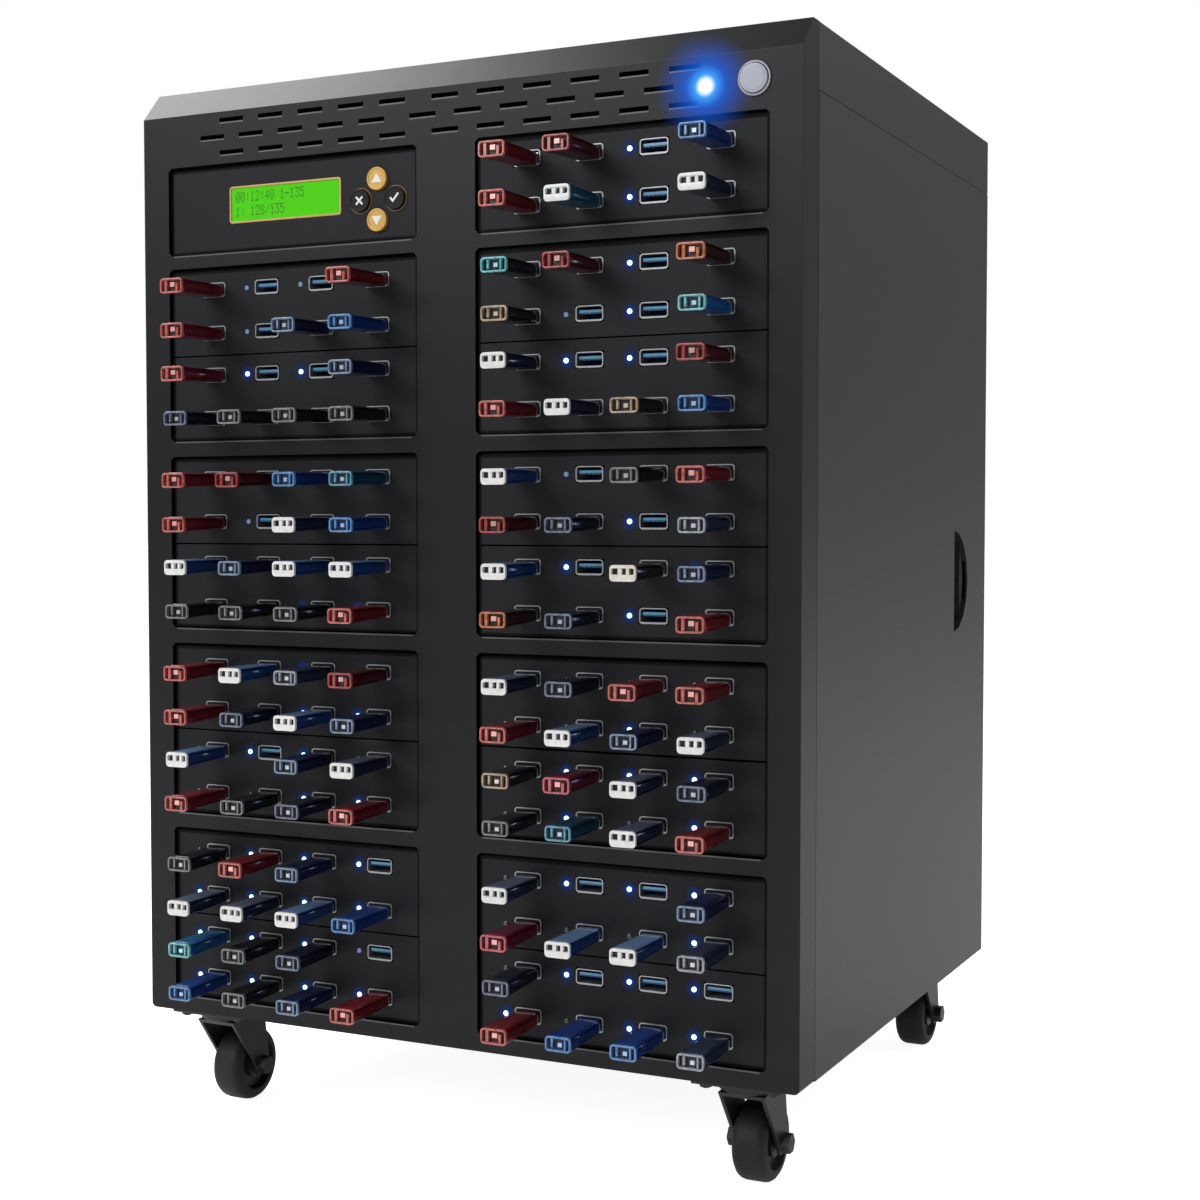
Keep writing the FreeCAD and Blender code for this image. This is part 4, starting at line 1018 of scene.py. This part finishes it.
def keycap(centre, radius, depth, material, crown):
    """Round cap with a rolled rim and a shallow crown, its front round the centre."""
    cap = add_disc(centre, radius, depth, 40)
    pick(cap, frontwards)
    inset(radius * 0.14)
    push((0, crown, 0))
    bpy.ops.transform.resize(value=(0.93, 1, 0.93), center_override=centre)
    start()
    round_edges(cap, 0.4 * MM, angle=25)
    return dress(cap, material)


def thin_mark(outline, centre, material):
    """A raised mark of even thickness, its outline given in millimetres round the centre."""
    start()
    mesh = bpy.data.meshes.new("mark")
    mesh.from_pydata([centre + mm(x, 0, z) for x, z in outline], [], [range(len(outline))])
    mark = bpy.data.objects.new("mark", mesh)
    bpy.context.collection.objects.link(mark)
    pick(mark, everything)
    push(mm(0, 0.25, 0))
    tidy_normals(mark)
    return dress(mark, material)


class DUPLICATOR_OT_keys(bpy.types.Operator):
    """Four round keys: two gold arrow keys and two black keys in gold rings"""

    bl_idname = "duplicator.keys"
    bl_label = "Keys"

    def execute(self, context):
        gold = finish("key_gold", (0.56, 0.33, 0.060), 0.35, (0.62, 0.38, 0.085), Metallic=0.2,
                      grain=(1500.0, 0.05, 120.0, 1.0))
        black = finish("key_black", (0.004, 0.004, 0.005), 0.5, Specular_IOR_Level=0.25)
        ring_gold = finish("key_ring", (0.22, 0.14, 0.045), 0.4, Metallic=0.3)
        white = finish("mark_white", (0.74, 0.73, 0.70), 0.5)
        looks = {
            "up_button": (gold, ARROW, 1), "down_button": (gold, ARROW, -1),
            "escape_button": (black, CROSS, 1), "enter_button": (black, TICK, 1),
        }
        rims = []
        for node, (material, mark, up) in looks.items():
            centre, radius, depth = front_of(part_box(node))
            cap = keycap(centre, radius, depth, material, 0.25 * MM)
            symbol = thin_mark([(x, z * up) for x, z in mark], centre + mm(0, 0.1, 0), white)
            settle(join([cap, symbol]), node.replace("button", "keycap"), node,
                   "button_gold" if material is gold else "button_black", node)
            if material is black:
                rim = add_ring(on_face(centre, 1.95 * MM), 6.05 * MM, 0.32 * MM, 40)
                bpy.ops.object.shade_smooth()
                rims.append(dress(rim, ring_gold))
        settle(join(rims), "key_rims", "cabinet", "button_gold")
        return {"FINISHED"}


class DUPLICATOR_OT_power_button(bpy.types.Operator):
    """Domed power button in its ring, and the lit power light beside it"""

    bl_idname = "duplicator.power_button"
    bl_label = "Power button and light"

    def execute(self, context):
        silver = finish("button_silver", (0.42, 0.45, 0.53), 0.5, (0.50, 0.53, 0.60),
                        grain=(900.0, 0.08, 60.0, 0.12))
        cap = keycap(*front_of(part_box("power_button")), silver, -0.3 * MM)
        settle(cap, "power_button_cap", "power_button", "button_silver", "power_button")

        ring_steel = finish("ring_steel", (0.13, 0.135, 0.15), 0.28, (0.20, 0.21, 0.23),
                            Metallic=0.9)
        settle(refined("power_button_ring", 0.4 * MM, ring_steel, angle=60), "power_button_collar",
               "cabinet", "button_black", "power_button_ring")

        settings = context.scene.duplicator_light
        middle, radius, depth = front_of(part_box("power_light"))
        lens = add_disc(middle, radius, depth, 24)
        pick(lens, frontwards)
        inset(0.8 * MM, 0.3 * MM)
        start()
        dress(lens, lamp_material("power_lens_lit", (0.6, 0.8, 1.0),
                                            (0.8, 0.9, 1.0), 5.0))
        # The glow lies on the bezel's face and follows it round the fold.
        middle += mm(0, 0.3, 0)
        glow = dress(add_face(middle, settings.power_glow, 48), glow_material(
            "power_glow", tuple(settings.glow_colour), 1.5, 0.17))
        fold = UNDER_Z + FOLD * MM
        slice_at(glow, (0, 0, fold), (0, 0, 1))
        pick(glow, lambda spot, way: spot.z > fold + 1e-5, "VERT")
        bpy.ops.transform.rotate(value=-FOLD_ANGLE, orient_axis="X",
                                 center_override=(middle.x, middle.y, fold))
        settle(join([lens, glow]), "power_lamp", "cabinet", "light_blue", "power_light")
        return {"FINISHED"}


class DUPLICATOR_OT_casters(bpy.types.Operator):
    """Four swivel casters: plates with their bolts, forks and dished wheels"""

    bl_idname = "duplicator.casters"
    bl_label = "Casters"

    def wheel(self, box):
        """Wheel with round shoulders and a dished hub, in the box of its CAD node."""
        low, high = corners(box)
        centre = (low + high) / 2
        radius = (high.z - low.z) / 2
        wheel = add_cylinder(centre, radius, high.x - low.x, 64, (0, math.pi / 2, 0))
        tread = finish("wheel_tread", (0.010, 0.010, 0.010), 0.55,
                       grain=(700.0, 0.2, 60.0, 1.0), Specular_IOR_Level=0.35)
        hub = finish("wheel_hub", (0.020, 0.020, 0.021), 0.42, Specular_IOR_Level=0.4)
        dress(wheel, tread, hub)
        pick(wheel, lambda spot, way: (spot - centre).yz.length > radius * 0.98
             and abs(way.x) < 0.5, "EDGE")
        bevel_picked(4.2 * MM, 4)
        for side in (-1, 1):
            pick(wheel, lambda spot, way: way.x * side > 0.99
                 and (spot - centre).yz.length < 1e-4)
            inset(1.4 * MM)
            push(mm(-3.4 * side, 0, 0))
            bpy.ops.transform.resize(value=(1, 0.92, 0.92), center_override=centre)
            paint_picked(wheel, 1)
            inset(5.2 * MM)
            push(mm(2.6 * side, 0, 0))
        return smooth(wheel, 32)

    def bolt(self, middle):
        """Domed bolt head, pointing down."""
        head = add_cylinder(middle, 3 * MM, 2 * MM, 16, (0, 0, 0))
        pick(head, lambda spot, way: way.z < -0.9)
        inset(1.0 * MM)
        push(mm(0, 0, -0.5))
        start()
        return dress(round_edges(head, 0.3 * MM), dark_steel())

    def execute(self, context):
        plates = refined("caster_plates", 0.5 * MM, dark_steel())
        bolts = []
        for low, high in solids("caster_plates"):
            middle = (low + high) / 2
            bolts += [self.bolt(Vector((middle.x, middle.y, high.z)) + mm(x, y, -3.4))
                      for x, y in BOLT_SPOTS]
        settle(join([plates] + bolts), "caster_mounts", "cabinet", "caster_steel",
               "caster_plates")
        for corner in ("front_left", "front_right", "rear_left", "rear_right"):
            fork, node = "caster_fork_" + corner, "caster_wheel_" + corner
            settle(refined(fork, 0.6 * MM, dark_steel()), f"caster_{corner}_fork", fork,
                   "caster_steel", fork)
            settle(self.wheel(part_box(node)), f"caster_{corner}_wheel", node, "caster_rubber",
                   node)
        return {"FINISHED"}


class DUPLICATOR_OT_rear_end(bpy.types.Operator):
    """Power supply, mains inlet and switch, exhaust fan and thumbscrews"""

    bl_idname = "duplicator.rear_end"
    bl_label = "Rear end"

    def execute(self, context):
        black = finish("rear_moulding", (0.011, 0.011, 0.012), 0.42, Specular_IOR_Level=0.4)
        for node, body, slot, width in (
                ("power_supply", "cabinet", "zinc_sheet", 0.4),
                ("mains_inlet", "cabinet", "switch_black", 0.3),
                ("exhaust_fan_frame", "cabinet", "fan_plastic", 0.6),
                ("exhaust_fan_rotor", "exhaust_fan_rotor", "fan_plastic", 0.3)):
            supply = node == "power_supply"
            looks = (zinc_sheet(), deep_black()) if supply else (black,)
            piece = refined(node, width * MM, *looks)
            if supply:
                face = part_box(node)[1][1]
                paint(piece, 1, lambda spot, way: way.y > -0.1
                      and face - 4 * MM < spot.y < face - 0.9 * MM)
            settle(piece, node + "_body", body, slot, node)

        rocker = refined("mains_switch", 0.5 * MM, black)
        low, high = corners(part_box("mains_switch"))
        middle = (low.x + high.x) / 2
        white = finish("switch_mark", (0.70, 0.70, 0.68), 0.5)
        top = Vector((middle, high.y, high.z))
        bar = add_block(top + mm(-0.3, -2.3, -5), top + mm(0.3, -2.05, -2))
        ring = add_ring(Vector((middle, high.y, low.z)) + mm(0, -0.97, 2.9), 1.3 * MM, 0.2 * MM,
                        24, (-math.radians(71), 0, 0))
        marks = [dress(mark, white) for mark in (bar, ring)]
        settle(join([rocker] + marks), "mains_rocker", "mains_switch", "switch_black",
               "mains_switch")

        for side in ("left", "right"):
            node = f"{side}_panel_thumbscrews"
            screws = []
            for low, high in solids(node):
                head = add_cylinder((low + high) / 2, (high.z - low.z) / 2, high.y - low.y, 32)
                # Every second face of the rim is sunk, for the grip.
                pick(head, lambda spot, way: abs(way.y) < 0.5 and round(
                    math.atan2(way.z, way.x) / math.pi * 16 - 0.5) % 2 == 0)
                inset_each(0.2 * MM, -0.25 * MM)
                pick(head, lambda spot, way: way.y > 0.9)
                inset(0.9 * MM)
                push(mm(0, -0.5, 0))
                start()
                screws.append(dress(head, bright_steel()))
            settle(join(screws), f"{side}_thumbscrew_heads", f"{side}_panel", "bolt_steel", node)
        return {"FINISHED"}


class DUPLICATOR_OT_inner_pieces(bpy.types.Operator):
    """Finishes of the trays, cage and boards, which the bays and the rear grille give on to"""

    bl_idname = "duplicator.inner_pieces"
    bl_label = "Inner pieces"

    def execute(self, context):
        board = finish("board_green", (0.010, 0.09, 0.035), 0.35, (0.015, 0.13, 0.05),
                       grain=(500.0, 0.1, 150.0, 1.0))
        dull = finish("dull_zinc", (0.060, 0.061, 0.063), 0.6, (0.085, 0.086, 0.088), Metallic=0.4)
        looks = {
            "drive_cage": dull, "module_trays": dull, "module_boards": board,
            "lcd_module": board, "controller_board": board,
        }
        for node, material in looks.items():
            dress(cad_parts[node], material)
        return {"FINISHED"}


class DUPLICATOR_OT_stage(bpy.types.Operator):
    """Pale floor, soft lamps and camera"""

    bl_idname = "duplicator.stage"
    bl_label = "Stage"

    def lamp(self, name, place, aim, size, power):
        """Square soft lamp turned towards a point."""
        start()
        bpy.ops.object.light_add(type="AREA", location=place)
        lamp = bpy.context.object
        lamp.name = name
        lamp.data.size = size
        lamp.data.energy = power
        lamp.rotation_euler = (Vector(aim) - Vector(place)).to_track_quat("-Z", "Y").to_euler()

    def execute(self, context):
        settings = context.scene.duplicator_stage
        start()
        bpy.ops.mesh.primitive_plane_add(size=40, location=(0, 0, 0))
        floor = applied()
        floor.name = "floor"
        material = finish("floor_white", tuple(settings.floor_colour), 0.9,
                          grain=(20.0, 0.0, 1.0, 1.0), Specular_IOR_Level=0.0)
        # The floor shines a little towards the camera, and less in reflections.
        tree = lit_by(material, (1, 1, 1)).node_tree
        rays = add_node(tree, "ShaderNodeLightPath")
        glossy = add_node(tree, "ShaderNodeMath", {1: 0.25}, operation="MULTIPLY")
        lift = add_node(tree, "ShaderNodeMath", {1: 0.9}, operation="MULTIPLY_ADD")
        wire(tree, (rays, "Is Glossy Ray", glossy, 0), (rays, "Is Camera Ray", lift, 0),
             (glossy, "Value", lift, 2),
             (lift, "Value", tree.nodes["Principled BSDF"], "Emission Strength"))
        dress(floor, material)

        world = bpy.data.worlds.new("surroundings")
        world.use_nodes = True
        context.scene.world = world
        tree = world.node_tree
        plain = set_values(tree.nodes["Background"], {"Color": (1, 1, 1, 1),
                                                      "Strength": settings.world_level})
        white = add_node(tree, "ShaderNodeBackground", {"Color": (1, 1, 1, 1), "Strength": 1.0})
        rays = add_node(tree, "ShaderNodeLightPath")
        blend = add_node(tree, "ShaderNodeMixShader")
        wire(tree, (rays, "Is Camera Ray", blend, "Fac"), (plain, "Background", blend, 1),
             (white, "Background", blend, 2),
             (blend, "Shader", tree.nodes["World Output"], "Surface"))

        for name, (place, aim, size) in LAMPS.items():
            self.lamp(name + "_lamp", place, aim, size, getattr(settings, name + "_power"))
        start()
        bpy.ops.object.camera_add(
            location=at(*CAMERA_PLACE),
            rotation=(math.radians(CAMERA_TILT), 0, math.radians(CAMERA_TURN)))
        camera = context.object
        camera.name = "camera"
        camera.data.lens = settings.focal_length
        camera.data.sensor_width = 36
        context.scene.camera = camera
        context.scene.view_settings.view_transform = "Standard"
        return {"FINISHED"}


class DUPLICATOR_PT_pieces(bpy.types.Panel):
    """Sidebar panel that lists the pieces and their settings"""

    bl_idname = "DUPLICATOR_PT_pieces"
    bl_label = "Drive duplicator"
    bl_space_type = "VIEW_3D"
    bl_region_type = "UI"
    bl_category = "Duplicator"

    def draw(self, context):
        layout = self.layout
        for group, settings in SETTINGS.items():
            box = layout.box()
            for name in settings.__annotations__:
                box.prop(getattr(context.scene, group), name)
        for operator in OPERATORS:
            layout.operator(operator.bl_idname)


SETTINGS = {
    "duplicator_case": CaseSettings, "duplicator_stick": StickSettings,
    "duplicator_light": LightSettings, "duplicator_stage": StageSettings,
}
OPERATORS = (
    DUPLICATOR_OT_front_bezel, DUPLICATOR_OT_case_sheets, DUPLICATOR_OT_faceplates,
    DUPLICATOR_OT_sockets, DUPLICATOR_OT_status_lights, DUPLICATOR_OT_sticks,
    DUPLICATOR_OT_source_stick, DUPLICATOR_OT_display, DUPLICATOR_OT_keys,
    DUPLICATOR_OT_power_button, DUPLICATOR_OT_casters, DUPLICATOR_OT_rear_end,
    DUPLICATOR_OT_inner_pieces, DUPLICATOR_OT_stage,
)


def register():
    for group in SETTINGS.values():
        bpy.utils.register_class(group)
    for operator in OPERATORS:
        bpy.utils.register_class(operator)
    bpy.utils.register_class(DUPLICATOR_PT_pieces)
    for name, group in SETTINGS.items():
        setattr(bpy.types.Scene, name, PointerProperty(type=group))


def unregister():
    for name in SETTINGS:
        delattr(bpy.types.Scene, name)
    bpy.utils.unregister_class(DUPLICATOR_PT_pieces)
    for operator in reversed(OPERATORS):
        bpy.utils.unregister_class(operator)
    for group in reversed(list(SETTINGS.values())):
        bpy.utils.unregister_class(group)


def main():
    register()
    bpy.ops.duplicator.front_bezel()
    bpy.ops.duplicator.case_sheets()
    bpy.ops.duplicator.faceplates()
    bpy.ops.duplicator.sockets()
    bpy.ops.duplicator.status_lights()
    bpy.ops.duplicator.sticks()
    bpy.ops.duplicator.source_stick()
    bpy.ops.duplicator.display()
    bpy.ops.duplicator.keys()
    bpy.ops.duplicator.power_button()
    bpy.ops.duplicator.casters()
    bpy.ops.duplicator.rear_end()
    bpy.ops.duplicator.inner_pieces()
    bpy.ops.duplicator.stage()


if __name__ == "__main__":
    main()
